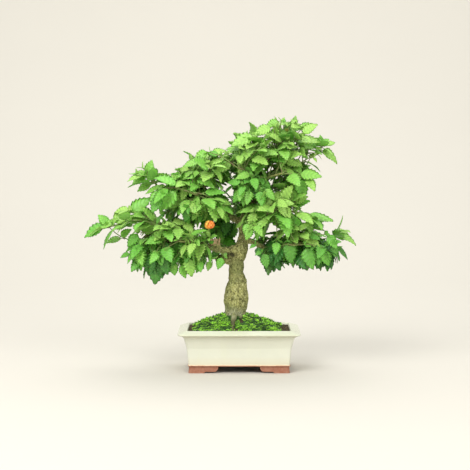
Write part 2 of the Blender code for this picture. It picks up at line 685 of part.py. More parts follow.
class Crowd:
    """What has been placed so far, and whether a new shape is clear of it."""

    def __init__(self):
        self.placed = []

    @staticmethod
    def box(points):
        low = [min(point[k] for point in points) for k in range(3)]
        high = [max(point[k] for point in points) for k in range(3)]
        return low, high

    def add(self, shape, owner):
        tree = BVHTree.FromPolygons([tuple(point) for point in shape[0]], shape[1])
        self.placed.append((self.box(shape[0]), tree, owner))

    def clear(self, shape, skip=()):
        tree = BVHTree.FromPolygons([tuple(point) for point in shape[0]], shape[1])
        low, high = self.box(shape[0])
        for (other_low, other_high), other, owner in self.placed:
            if owner in skip:
                continue
            if any(low[k] > other_high[k] or high[k] < other_low[k] for k in range(3)):
                continue
            if tree.overlap(other):
                return False
        return True


def pad_tips(centre, half, rise, count):
    """Shoot tips spread evenly over an ellipsoid's upper side and rim."""
    tips = []
    for k in range(count):
        height = 1 - PAD_DEPTH * (k + 0.5) / count
        around = math.pi * (3 - math.sqrt(5)) * k + 0.6
        flat = math.sqrt(1 - height**2)
        x, y = flat * math.cos(around) * half[0], flat * math.sin(around) * half[1]
        tips.append(Vector(centre) + Vector((x, y, height * half[2] + rise * x)))
    return tips


def twig_start(tip, centre, samples, used):
    """The point on the pad's branches that suits a shoot to this tip: near the usual length, and outward."""
    def cost(k):
        point = Vector(samples[k][:3])
        reach = tip - point
        outward = reach.normalized().dot((tip - centre).normalized())
        return abs(reach.length - TWIG_LENGTH) + 0.016 * (1 - outward) + 0.02 * used.count(k)

    best = min(range(len(samples)), key=cost)
    used.append(best)
    return samples[best]


def twig_samples(start, tip, droop, draw, wood):
    """A shoot's axis from just clear of its branch, arched up and then over; None if it can't be seated."""
    first = Vector(start[:3])
    reach = tip - first
    lift = Vector((draw.uniform(-0.1, 0.1), draw.uniform(-0.1, 0.1), 0.12 + 0.10 * droop)) * reach.length
    middle = (first + tip) / 2 + lift
    leaving = (middle - first).normalized()
    foot = first + leaving * start[3]
    nearest = 0.0
    while nearest < GAP:
        foot += leaving * 0.0001
        if (foot - first).length > 4 * start[3] + 0.004:
            return None
        side = leaving.orthogonal().normalized()
        across = leaving.cross(side)
        ring = [foot + (side * math.cos(k) + across * math.sin(k)) * TWIG_RADIUS[0] for k in range(7)]
        nearest = min(clearance(point, wood) for point in ring + [foot])
    samples = []
    for k in range(TWIG_STEPS + 1):
        t = k / TWIG_STEPS
        point = foot * (1 - t) ** 2 + middle * (2 * t * (1 - t)) + tip * t**2
        samples.append((*point, TWIG_RADIUS[0] + (TWIG_RADIUS[1] - TWIG_RADIUS[0]) * t))
    return samples


def clearance(point, tree):
    """Distance from the point to the surface, below zero inside it."""
    nearest, normal, _, distance = tree.find_nearest(point)
    return distance if (point - nearest).dot(normal) > 0 else -distance


def on_twig(samples, share):
    """Point and direction at a share of the twig's length."""
    place = share * (len(samples) - 1)
    k = min(int(place), len(samples) - 2)
    first, second = Vector(samples[k][:3]), Vector(samples[k + 1][:3])
    return first.lerp(second, place - k), (second - first).normalized()


def grow_leaves(samples, droop, length, centre, draw, crowd, name):
    """The leaves of one shoot, each tried in several turns until it crosses nothing."""
    shapes = []
    quarter = draw.uniform(0, math.pi)
    for share, size in LEAF_PAIRS:
        root, tangent = on_twig(samples, share)
        level = Vector((0, 0, 1)).cross(tangent).normalized()
        rising = tangent.cross(level)
        outward = Vector((root.x - centre.x, root.y - centre.y, 0)).normalized()
        for half_turn in (0.0, math.pi):
            for attempt in range(LEAF_TRIES):
                turn = quarter + half_turn + draw.uniform(-0.2, 0.2) * (1 + 0.5 * attempt)
                sideways = level * math.cos(turn) + rising * math.sin(turn) * 0.6
                along = (sideways * 0.8 + tangent * draw.uniform(0.5, 0.9)).normalized()
                hang = max(0.25, droop * (1 + (centre.z - root.z) * 14)) * draw.uniform(0.6, 1.2)
                blade = (along - Vector((0, 0, hang)) + outward * 0.15).normalized()
                face = Vector((0, 0, 1)) * 0.9 + outward * (0.35 + 0.6 * hang)
                face += Vector([draw.uniform(-0.35, 0.35) for _ in range(3)])
                face = (face - blade * face.dot(blade)).normalized()
                long = length * size * draw.uniform(0.88, 1.08) * (1 - 0.025 * attempt)
                if crowd.clear(leaf_shape(root, along, blade, face, long, LEAF_CLEAR, 0.0030)):
                    shapes.append(leaf_shape(root, along, blade, face, long))
                    crowd.add(leaf_shape(root, along, blade, face, long, 0.0, 0.0024), name)
                    break
        quarter += math.pi / 2 + draw.uniform(-0.2, 0.2)
    return shapes


def plan_twigs(routes, wood, crowd):
    """Every shoot's axis: the long single ones, then those of the pads."""
    twigs = {}
    for name, (start, tip, droop, length) in SHOOTS.items():
        base = (*start, SHOOT_RADIUS)
        place_twig(twigs, "shoot_" + name, base, Vector(tip), droop, length, Vector(), wood, crowd)
    for pad, (centre, half, rise, count, droop, length, carriers) in PADS.items():
        samples = [sample for carrier in carriers for sample in routes[carrier][2:]]
        used = []
        for k, tip in enumerate(pad_tips(centre, half, rise, count)):
            start = twig_start(tip, Vector(centre), samples, used)
            name = f"{pad}_{k + 1}"
            place_twig(twigs, name, start, tip, droop, length, Vector(centre), wood, crowd)
    return twigs


def place_twig(twigs, name, start, tip, droop, length, centre, wood, crowd):
    draw = random.Random(f"{SEED} {name}")
    for attempt in range(TWIG_TRIES):
        stray = Vector([draw.uniform(-1, 1) for _ in range(3)]) * TWIG_STRAY * attempt
        samples = twig_samples(start, tip + stray, droop, draw, wood)
        if samples is None:
            continue
        inner = [(*Vector(samples[0][:3]).lerp(Vector(samples[1][:3]), 0.3), samples[0][3])] + samples[1:]
        wide = tube(samples, TWIG_SIDES, 0.0, LEAF_CLEAR)
        seated = crowd.clear(tube(samples, TWIG_SIDES, 0.0, SEAT_CLEAR))
        if seated and crowd.clear(wide, ("wood",)) and crowd.clear(tube(inner, TWIG_SIDES, 0.0, LEAF_CLEAR)):
            crowd.add(tube(samples, TWIG_SIDES), name)
            twigs[name] = (samples, droop, length, centre, draw)
            return


def build_sprays(twigs, crowd):
    for name, (samples, droop, length, centre, draw) in twigs.items():
        leaves = grow_leaves(samples, droop, length, centre, draw, crowd, name)
        spray = mesh_object("spray_" + name, tube(samples, TWIG_SIDES), "leaf")
        boolean(spray, leaves, "UNION", "MANIFOLD")


# Flower and buds
def frame_along(direction):
    up = Vector(direction).normalized()
    side = up.orthogonal().normalized()
    return up, side, up.cross(side)


def floret(centre, direction):
    """One four-lobed floret on its tube, as a closed shape."""
    up, side, across = frame_along(direction)
    throat = centre - up * 0.0042
    rim = []
    for k in range(8):
        radius = FLORET_RADIUS * (1.0 if k % 2 == 0 else 0.62)
        turn = math.pi / 4 * k
        outward = side * math.cos(turn) + across * math.sin(turn)
        rim.append(centre + outward * radius + up * (0.0003 * (k % 2)))
    neck = [throat + (side * math.cos(t) + across * math.sin(t)) * 0.0006 for t in (0, 2.1, 4.2)]
    points = rim + neck + [centre - up * 0.0003, centre - up * 0.0011]
    faces = [(k, (k + 1) % 8, 11) for k in range(8)]
    under = [(0, 1, 8), (1, 2, 8), (2, 3, 9), (3, 4, 9), (4, 5, 9), (5, 6, 10), (6, 7, 10), (7, 0, 10)]
    faces += [(b, a, c) for a, b, c in under] + [(2, 8, 9), (5, 9, 10), (0, 10, 8), (8, 10, 9)]
    return points[:12], faces


def ball(centre, radius, stretch=1.0, up=(0, 0, 1), rings=2, sides=6):
    """Low closed ball, stretched along up."""
    up, side, across = frame_along(up)
    levels = []
    for k in range(1, rings + 1):
        turn = math.pi * k / (rings + 1)
        level = centre - up * (radius * stretch * math.cos(turn))
        wide = radius * math.sin(turn)
        around = [2 * math.pi * i / sides for i in range(sides)]
        levels.append([level + (side * math.cos(a) + across * math.sin(a)) * wide for a in around])
    points, faces = lofted(levels, False, False)
    last = (rings - 1) * sides
    points += [centre - up * radius * stretch, centre + up * radius * stretch]
    faces += [((i + 1) % sides, i, len(points) - 2) for i in range(sides)]
    faces += [(last + i, last + (i + 1) % sides, len(points) - 1) for i in range(sides)]
    return points, faces


def dome_directions(axis, count, spread):
    """Directions spread evenly over a dome round the axis."""
    up, side, across = frame_along(axis)
    found = []
    for k in range(count):
        lean = spread * math.sqrt(k / (count - 1))
        turn = math.pi * (3 - math.sqrt(5)) * k
        found.append(up * math.cos(lean) + (side * math.cos(turn) + across * math.sin(turn)) * math.sin(lean))
    return found


def build_flower(twigs):
    centre = Vector(FLOWER_AT)
    core = ball(centre, FLOWER_RADIUS * 0.62, 1.0, FLOWER_FACES, 2, 6)
    head = mesh_object("flower_head", core, "flower")
    ways = dome_directions(FLOWER_FACES, FLORET_COUNT, 1.75)
    florets = [floret(centre + way * FLOWER_RADIUS, way) for way in ways]
    boolean(head, florets, "UNION", "MANIFOLD")
    way = Vector(FLOWER_FACES).normalized()
    top = centre - way * (FLOWER_RADIUS * 0.62 + GAP)
    samples = twigs["shoot_flower"][0]
    foot = Vector(samples[-1][:3]) + Vector((0.0, 0.0, TWIG_RADIUS[1] + 2 * GAP))
    middle = (foot + top) / 2 + Vector((0, 0.001, 0))
    stalk = [(*foot, STALK_RADIUS), (*middle, STALK_RADIUS), (*top, STALK_RADIUS)]
    return [head, mesh_object("flower_stalk", tube(stalk, 5), "leaf")]


def flower_space():
    """Tube in front of the flower head that no leaf grows into."""
    radius, length = FLOWER_OPEN
    near = Vector(FLOWER_AT) + Vector((0.0, -radius, 0.002))
    return tube([(*near, radius), (*(near + Vector((0.0, -length, 0.005))), radius)], 6)


def build_buds(twigs):
    heads = []
    for number, (name, facing) in enumerate(BUD_HEADS, 1):
        samples = twigs[name][0]
        up = Vector(facing).normalized()
        foot = Vector(samples[-1][:3]) + up * (TWIG_RADIUS[1] + 2 * GAP)
        top = foot + up * 0.012
        shape = tube([(*foot, STALK_RADIUS), (*top, STALK_RADIUS)], 5)
        head = mesh_object(f"bud_head_{number}", shape, "bud")
        buds = [ball(top, 0.0022, 1.0, (0.3, 0.2, 1.0), 2, 5)]
        for way in dome_directions(up, BUD_COUNT, 1.5):
            buds.append(ball(top + way * 0.0027, 0.00113, 1.5, way, 2, 5))
        boolean(head, buds, "UNION", "MANIFOLD")
        heads.append(head)
    return heads


def main():
    clear_scene()
    noise.seed_set(NOISE_SEED)
    build_pot()
    build_soil_and_moss()
    build_drains()
    routes = wood_routes()
    wood = build_wood(routes)
    crowd = Crowd()
    wood_shape = shape_of(wood)
    crowd.add(wood_shape, "wood")
    crowd.add(shape_of(bpy.data.objects["pot"]), "pot")
    wood_tree = BVHTree.FromPolygons([tuple(point) for point in wood_shape[0]], wood_shape[1])
    twigs = plan_twigs(routes, wood_tree, crowd)
    for made in build_flower(twigs) + build_buds(twigs):
        crowd.add(shape_of(made), made.name)
    crowd.add(flower_space(), "flower_space")
    build_sprays(twigs, crowd)


main()
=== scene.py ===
"""Looks of the lantana bonsai in its cream glazed pot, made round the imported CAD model.

Every operator below makes one piece or one group of like pieces. Shapes are worked out round
the pot's centre, in metres, and PLACE sets them where the CAD model has them.
"""

import functools
import json
import math
import random

import bpy
import numpy as np
from mathutils import Matrix, Vector, noise
from mathutils.bvhtree import BVHTree

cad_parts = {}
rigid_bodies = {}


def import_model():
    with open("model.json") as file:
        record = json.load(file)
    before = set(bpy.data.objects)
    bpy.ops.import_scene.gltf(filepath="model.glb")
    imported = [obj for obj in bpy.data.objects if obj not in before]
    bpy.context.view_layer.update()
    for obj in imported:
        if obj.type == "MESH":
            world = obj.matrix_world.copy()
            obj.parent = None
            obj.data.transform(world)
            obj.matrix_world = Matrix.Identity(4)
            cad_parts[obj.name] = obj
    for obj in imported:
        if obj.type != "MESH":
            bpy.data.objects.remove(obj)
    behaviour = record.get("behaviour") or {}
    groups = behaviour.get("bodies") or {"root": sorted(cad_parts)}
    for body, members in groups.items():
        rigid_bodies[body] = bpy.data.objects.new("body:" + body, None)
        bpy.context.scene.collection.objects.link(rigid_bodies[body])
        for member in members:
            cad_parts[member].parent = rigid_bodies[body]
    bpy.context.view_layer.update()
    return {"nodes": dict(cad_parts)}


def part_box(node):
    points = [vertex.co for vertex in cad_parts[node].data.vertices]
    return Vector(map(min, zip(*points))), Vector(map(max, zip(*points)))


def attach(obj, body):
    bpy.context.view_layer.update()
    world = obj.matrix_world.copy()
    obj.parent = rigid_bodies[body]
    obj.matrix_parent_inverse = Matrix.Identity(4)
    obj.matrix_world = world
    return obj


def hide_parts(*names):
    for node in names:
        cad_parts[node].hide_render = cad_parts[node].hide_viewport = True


bl_info = {
    "name": "Lantana bonsai",
    "version": (1, 0, 0),
    "blender": (4, 5, 0),
    "location": "3D View > Sidebar > Bonsai",
    "description": "Dresses the bonsai: glazed pot, soil, moss, bark, foliage, flowers and stage",
    "category": "Object",
}

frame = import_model()
POT_LOW, POT_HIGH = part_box("pot")
PLACE = Vector(((POT_LOW.x + POT_HIGH.x) / 2, (POT_LOW.y + POT_HIGH.y) / 2, 0.0))


def metres(value):
    """Millimetres, alone or in rows of any depth, as metres."""
    return tuple(metres(part) for part in value) if isinstance(value, tuple) else round(value / 1000, 5)


# Gap between pieces that stand in each other, how far a cutter runs past what it cuts, the seeds of all
# random draws and of vector noise, and the turn that spreads points evenly round a middle
GAP = 0.0003
CUT = 0.002
SEED = 11
NOISE_SEED = 1796069838
GOLDEN_TURN = math.pi * (3 - math.sqrt(5))

# Pot: half sizes at the lip, and the heights of its foot, floor, shoulder and rim
LIP_HALF_X = 0.0997
LIP_HALF_Y = 0.0650
FOOT_HEIGHT = 0.0110
FLOOR_TOP = 0.0185
SHOULDER_HEIGHT = 0.0576
LIP_HEIGHT = 0.0640
RIM_HEIGHT = 0.0694
CORNER_RADIUS = 0.009
# Pot wall profile: (inset from the lip, height), outside from the foot up, then down inside
POT_OUTSIDE = (
    (0.0162, FOOT_HEIGHT),
    (0.0178, FOOT_HEIGHT + 0.0024),
    (0.0150, SHOULDER_HEIGHT * 0.70),
    (0.0102, SHOULDER_HEIGHT),
    (0.0074, SHOULDER_HEIGHT + 0.0024),
    (0.0010, LIP_HEIGHT - 0.0012),
    (0.0000, LIP_HEIGHT),
    (0.0075, LIP_HEIGHT + 0.0028),
    (0.0145, RIM_HEIGHT),
)
POT_INSIDE = ((0.0162, RIM_HEIGHT - 0.0006), (0.0175, LIP_HEIGHT), (0.0235, FLOOR_TOP))
# Feet: where the flat of each corner foot ends, where its raised step ends, and the arch
FOOT_X = (0.0560, 0.0400, 0.0335)
FOOT_Y = (0.0300, 0.0200, 0.0140)
FOOT_STEP = 0.0024
FOOT_INSET = 0.0188
FOOT_SPLAY = 0.0012
WELL_INSET = 0.0272
ARCH_STEPS = 8
# Drain holes, the mesh squares over them and the wire clips that hold those
DRAIN_X = 0.042
DRAIN_RADIUS = 0.007

# Soil mound: its height at the pot's wall and at its peak, where the peak is, how steeply
# and how squarely it falls, and the pitch of its grid
SOIL_EDGE = 0.0662
MOUND_TOP = 0.0922
MOUND_X = -0.005
MOUND_INSET = 0.018
MOUND_FALL = 1.25
MOUND_SQUARE = 2.2
SOIL_CORNER = 0.0014
SOIL_ROUGHNESS = 0.0013
SOIL_JITTER = 0.004
MOSS_THICKNESS = 0.0036
# Bare spots in the moss: middle and half sizes as (x, y, x, y)
BARE_SPOTS = metres(((3.5, -21, 4.5, 9), (-3.5, -43, 6, 5), (46, -44, 13, 11)))
# The carpet along the pot: its middle, its half length and how far its ends wander; then how much the
# bare spots, chance and everything else take from it
MOSS_MIDDLE = -0.0023
MOSS_HALF = 0.0715
MOSS_WANDER = 0.006
MOSS_BARED = 1.6
MOSS_PATCHY = 0.80
MOSS_LESS = 0.08

# Wood, in millimetres: (x, y, height, radius) up the trunk's bends and its two bulges
TRUNK = metres((
    (-4, 3, 52.5, 17), (-5, 2, 76.3, 20.5), (-6, 0, 92.2, 17.6), (-5, 0, 104.1, 18.8), (-5, 0, 115.9, 20),
    (-5, 0, 128.8, 19), (-3, 0, 141.7, 16), (-3, 0, 151.6, 13), (-6, 0, 160.5, 10.6), (-6, 0, 174.4, 10.6),
    (-1, 0, 187.3, 12.2), (4, 0, 200.1, 11.4), (5, 0, 209.1, 8.6), (5, 0, 221, 6), (4, 1, 232.8, 5.6),
    (3, 2, 244.7, 5.8),
))
# Roots spreading from the trunk's foot, the first showing on the mound
ROOTS = metres((
    ((-6, -8, 93.2, 6), (-8, -22, 90.2, 4.6), (-10, -36, 76, 3.4), (-10, -48, 65, 2.6)),
    ((-10, -4, 88.2, 6), (-28, -10, 82.3, 4.6), (-48, -14, 68.4, 3)),
    ((-2, -4, 88.2, 6), (18, -14, 82.3, 4.4), (39, -20, 66.4, 2.8)),
    ((-2, 6, 88.2, 6), (16, 20, 82.3, 4.4), (34, 34, 64.4, 2.8)),
    ((-10, 6, 88.2, 6), (-24, 22, 80.3, 4.4), (-38, 36, 62.5, 2.8)),
))
# Main branches, from the trunk outwards, then the side branches that fill the foliage pads
BRANCHES = {
    "left_low": ((0, 0, 190.2, 8.8), (-18, -8, 194.2, 7.6), (-34, -14, 197.7, 6), (-50, -18, 203.1, 4.8),
        (-70, -22, 207.1, 4), (-93, -24, 212, 3.2), (-116, -20, 216, 2.6), (-138, -14, 219, 1.9),
        (-154, -10, 219, 1.3)),
    "stub": ((-34, -14, 198.2, 6), (-37, -18, 206, 6), (-40, -21, 211, 5.4)),
    "left_back": ((-6, 2, 181.3, 6.8), (-28, 14, 182.3, 5.2), (-46, 28, 183.3, 4.2), (-65, 42, 188.3, 3.3),
        (-85, 52, 196.2, 2.6), (-111, 56, 208.1, 1.4)),
    "right_low": ((4, 0, 212, 6.2), (22, -4, 210.1, 4.6), (38, -8, 202.1, 4.2), (51, -10, 201.6, 3.6),
        (67, -10, 206.6, 3), (87, -6, 209.1, 2.6), (109, 0, 212, 2.1), (130, 6, 210.1, 1.7),
        (144, 10, 207.1, 1.2)),
    "up_left": ((3, 1, 241.8, 5.8), (-13, 5, 249.7, 5.6), (-26, 9, 262.6, 4.6), (-46, 9, 269.5, 3.7),
        (-67, 4, 274.4, 3.1), (-91, -2, 280.4, 2.5), (-113, -6, 288.3, 1.8), (-129, -8, 293.3, 1.2)),
    "up_centre": ((3, 1, 242.7, 5.4), (12, -2, 258.6, 4.7), (22, -2, 271.5, 4.3), (31, 0, 284.3, 4),
        (34, 2, 300.2, 3.6), (32, 0, 316, 3), (37, -3, 331.9, 2.5), (49, -5, 347.7, 2), (65, -4, 361.6, 1.4)),
    "right_mid": ((4, 0, 239.3, 5), (20, -12, 249.7, 3.6), (37, -24, 258.6, 3), (55, -34, 262.6, 2.4),
        (74, -42, 263.5, 1.4)),
    "back": ((4, 2, 236.8, 4.8), (8, 22, 246.7, 3.6), (10, 44, 254.6, 2.8), (4, 62, 260.6, 1.6)),
    "left_low_front": ((-65, -21, 206.1, 3), (-77, -40, 211, 2.3), (-97, -58, 215, 1.3)),
    "left_low_top": ((-93, -24, 212, 2.6), (-111, -22, 226.9, 2), (-136, -18, 237.8, 1.2)),
    "right_low_front": ((59, -10, 204.1, 2.7), (71, -30, 207.1, 2), (91, -50, 208.1, 1.2)),
    "right_low_back": ((77, -8, 208.1, 2.4), (85, 16, 211, 1.9), (101, 40, 213, 1.2)),
    "up_left_front": ((-36, 9, 266.5, 3), (-53, -14, 279.4, 2.2), (-79, -38, 292.3, 1.2)),
    "up_left_back": ((-51, 8, 271.5, 2.9), (-65, 30, 283.4, 2.1), (-87, 50, 294.3, 1.2)),
    "up_left_top": ((-55, 8, 271.5, 2.7), (-61, 4, 290.3, 2), (-51, -2, 314.1, 1.2)),
    "crown_right": ((33, 1, 291.3, 3.3), (57, 10, 298.2, 2.5), (95, 14, 301.2, 1.2)),
    "crown_front": ((33, 1, 306.1, 2.9), (47, -20, 315.1, 2.2), (69, -42, 323, 1.2)),
    "crown_back": ((33, 1, 310.1, 2.8), (47, 22, 321, 2.1), (67, 44, 329.9, 1.2)),
    "crown_left": ((33, 0, 314.1, 2.6), (18, -18, 325, 1.9), (-2, -36, 330.9, 1.2)),
    "crown_left_back": ((34, 0, 324, 2.4), (24, 20, 334.9, 1.8), (10, 38, 338.8, 1.2)),
    "crown_top": ((41, -4, 337.8, 2.2), (63, 2, 344.8, 1.8), (95, 4, 351.7, 1.2)),
    "back_right": ((9, 34, 251.7, 2.6), (28, 52, 258.6, 1.9), (43, 64, 261.6, 1.2)),
}
BARK_RELIEF = 0.12

# Foliage pads, in millimetres: centre and half sizes of the shell where shoot tips end, its rise per
# metre to the right, the number of shoots, how far leaves droop, leaf length and the branches; then
# the growth that only the scene has: added shoots, their leaves' size and their tone, from 0, young
# and yellow-green, to 1, old and blue-green. The tones are partly the leaves' age and partly painted
# light and shade, set pad by pad, younger and paler where leaves lie in the crown's shade
PADS = {
    "crown_top": ((62, 0, 370), (46, 44, 16), 0.2, 5, 0.35, 40,
        "up_centre crown_front crown_back crown_top", (16, 0.86, 0.04)),
    "crown_left": ((6, 0, 356), (46, 46, 18), 0.3, 4, 0.5, 40,
        "up_centre crown_left crown_left_back up_left_top", (16, 0.86, 0.04)),
    "crown_right": ((88, 0, 322), (30, 46, 24), 0, 3, 0.7, 38,
        "crown_right crown_front crown_back", (17, 0.8, 0.24)),
    "upper_left": ((-82, 0, 314), (60, 52, 20), 0.3, 6, 0.6, 40,
        "up_left up_left_front up_left_back up_left_top", (24, 0.84, 0.24)),
    "middle_left": ((-66, -16, 270), (50, 40, 12), 0.1, 3, 0.6, 38,
        "up_left up_left_front up_left_back", (13, 0.84, 0.36)),
    "lower_left": ((-118, -2, 202), (62, 54, 22), 0, 7, 1, 41,
        "left_low left_low_front left_low_top left_back", (30, 0.84, 0.6)),
    "lower_right": ((96, 0, 204), (62, 46, 16), 0, 5, 1, 40,
        "right_low right_low_front right_low_back", (24, 0.84, 0.86)),
    "middle_right": ((56, -34, 258), (40, 22, 14), 0, 3, 0.5, 42,
        "right_mid", (13, 0.9, 0.26)),
    "back": ((20, 46, 268), (46, 24, 14), 0, 2, 0.8, 40,
        "back back_right", (9, 0.9, 0.55)),
}
PAD_DEPTH = 1.6
# Single long shoots that break the outline, in millimetres: start, tip, droop and leaf length
SHOOTS = {
    "far_left": ((-134, -18, 237.3), (-222, -24, 231), 0.25, 44),
    "left_mid": ((-114, -22, 228.4), (-172, -46, 248), 0.1, 36),
    "left_top": ((-126, -8, 292.3), (-150, -24, 318), 0.4, 36),
    "top": ((63, -4, 360.1), (78, -6, 380), 0.4, 34),
    "top_right": ((93, 4, 351.2), (134, -4, 364), 0.5, 34),
    "right_mid": ((72, -42, 263.5), (118, -46, 250), 0.1, 38),
    "far_right": ((142, 10, 207.6), (158, 4, 225), 0.1, 34),
    "flower": ((-46, -17, 201.6), (-50, -42, 220), 0.6, 30),
}
SHOOT_RADIUS = 0.0010
TWIG_LENGTH = 0.044
TWIG_RADIUS = (0.0014, 0.0011)
TWIG_SIDES = 4
TWIG_STEPS = 2
# Leaves sit in opposite pairs, each pair a quarter turn on from the last: place along the
# twig and size, from the branch to the tip
LEAF_PAIRS = ((0.38, 1.00), (0.70, 0.94), (0.98, 0.70))
LEAF_WIDTH = 0.65
LEAF_THICKNESS = 0.0012
LEAF_ARCH = 0.22
LEAF_FOLD = 0.28
PETIOLE_LENGTH = 0.0065
PETIOLE_RADIUS = (0.00045, 0.0006)
# One side of the blade: (place along it, half width), teeth and notches in turn
LEAF_EDGE = ((0.12, 0.70), (0.33, 1.00), (0.47, 0.82), (0.67, 0.72))
# How a leaf varies: how much longer or shorter, how far it hangs, how its face strays, and how it
# shrinks with each try
LEAF_LENGTHS = (0.88, 1.08)
LEAF_HANG = (0.6, 1.2)
FACE_STRAY = 0.35
LEAF_SHRINK = 0.025
# Where along its stalk a leaf starts to be tested, and to count for others
STALK_TESTED = 0.0030
STALK_KEPT = 0.0024
# Clearances that a leaf or shoot keeps to its neighbours and to the wood, and the tries each gets
LEAF_CLEAR = 0.0004
SEAT_CLEAR = 0.0001
LEAF_TRIES = 14
TWIG_TRIES = 24
TWIG_STRAY = 0.0015

# Flower head on its stalk, the width and length of the space kept open before it, and a
# head of buds: its shoot and the way it faces
FLOWER_AT = (-0.0465, -0.0500, 0.2405)
FLOWER_FACES = (0.05, -0.80, 0.60)
FLOWER_RADIUS = 0.0068
FLOWER_OPEN = (0.009, 0.055)
FLORET_RADIUS = 0.0027
STALK_RADIUS = 0.0007
BUD_HEADS = (("shoot_top", (0.0, -0.4, 0.9)),)
# A head of buds: its stalk's length, its core's radius, how far out its buds stand, their radius, and
# their rings as (buds, lean)
BUD_STALK = 0.0125
BUD_CORE = 0.0021
BUD_OUT = 0.0028
BUD_RADIUS = 0.00088
BUD_RINGS = ((1, 0.0), (6, 0.75), (10, 1.4))
# Finer than the source: steps of a pot corner and how far edges are rounded; the wood's voxels, where
# coarse bark ends and the relief above, the radius from which wood grows into one skin, and the sides of
# each kind of wood; a blade's rows, how far its underside lies off in its chart, half its thickness, and
# the kinds of blade
CORNER_STEPS = 9
EDGE_ROUND = 0.0011
WOOD_VOXEL = 0.00095
COARSE_BELOW = 0.21
FINE_RELIEF = 0.6
THICK_WOOD = 0.0033
TRUNK_SIDES = 26
BRANCH_SIDES = 12
FINE_TWIG_SIDES = 6
STALK_SIDES = 5
LEAF_ROWS = 12
BELOW = 3.0
LEAF_THIN = 0.0045
LEAF_KINDS = 8
# A blade's notches and teeth: how far they reach across and lie along it, and how its skin sinks and
# puffs between them; then how far its sides sweep ahead, and how its midrib sinks and stands out below
TOOTH_ACROSS = (0.92, 1.10)
TOOTH_ALONG = (-0.006, 0.030)
BLADE_PUFF = (-0.007, 0.009)
BLADE_SWEEP = 0.055
MIDRIB_DIP = 0.006
MIDRIB_KEEL = 1.6
# Sides and steps of the soil's and the moss's grid, and the shapes that grit and moss pick from
SOIL_GRID = (110, 72)
MOSS_GRID = (150, 96)
GROUND_KINDS = 6
# Growth in chosen places: pad, centre, half sizes, rise, shoots, droop, leaf length, tone and branches;
# the tone is partly age and partly painted light and shade, set place by place
FILLS = (
    ("crown_left", (21, -12, 306), (42, 46, 22), 0, 26, 0.85, 35, 0.48,
     "up_centre crown_left crown_front crown_left_back up_left_top crown_back"),
    ("middle_left", (-56, -6, 273), (78, 50, 13), 0.05, 24, 0.6, 35, 0.42,
     "up_left up_left_front up_left_back"),
    ("middle_right", (75, -18, 273), (38, 44, 12), 0, 15, 0.5, 37, 0.25,
     "right_mid crown_right"),
    ("lower_left", (-121, -10, 237), (60, 46, 13), 0.05, 20, 0.3, 35, 0.34,
     "left_low_top left_low left_low_front"),
    ("lower_left", (-65, -46, 213), (22, 18, 16), 0, 8, 0.5, 35, 0.32,
     "left_low_front left_low"),
    ("lower_left", (-140, -6, 187), (24, 40, 14), 0, 13, 1.4, 40, 0.95,
     "left_low left_low_front left_back"),
    ("lower_left", (-85, -8, 193), (40, 46, 12), 0, 14, 1.2, 37, 0.62,
     "left_low left_low_front left_back"),
    ("lower_right", (52, -10, 195), (24, 40, 12), 0, 12, 1.2, 37, 1,
     "right_low right_low_front"),
    ("lower_right", (124, -4, 195), (38, 44, 12), 0, 16, 1.2, 38, 0.92,
     "right_low right_low_front right_low_back"),
    ("lower_right", (100, -34, 227), (34, 26, 12), 0, 10, 0.7, 35, 0.25,
     "right_low right_low_front right_mid"),
    ("crown_top", (67, 0, 396), (36, 36, 6), 0.12, 7, 0.3, 29, 0.04,
     "up_centre crown_top crown_front crown_back"),
    ("crown_left", (8, -4, 374), (24, 40, 7), 0.4, 7, 0.3, 32, 0.06,
     "up_centre crown_left crown_left_back"),
    ("crown_right", (120, 0, 355), (24, 34, 20), 0, 8, 0.4, 30, 0.3,
     "crown_top crown_right"),
    ("upper_left", (-56, -4, 346), (30, 44, 8), 0.3, 8, 0.35, 34, 0.18,
     "up_left_top up_left_front up_left_back"),
    ("upper_left", (-160, -12, 326), (10, 14, 10), 0, 2, 0.3, 36, 0.26,
     "up_left"),
    ("middle_right", (20, -36, 248), (16, 16, 14), 0, 7, 0.7, 34, 0.18,
     "right_mid"),
    ("lower_left", (-166, -20, 257), (16, 20, 9), 0, 4, 0.25, 36, 0.24,
     "left_low_top"),
    ("back", (-26, 40, 232), (22, 20, 16), 0, 9, 0.8, 34, 0.6,
     "back left_back up_left_back"),
)
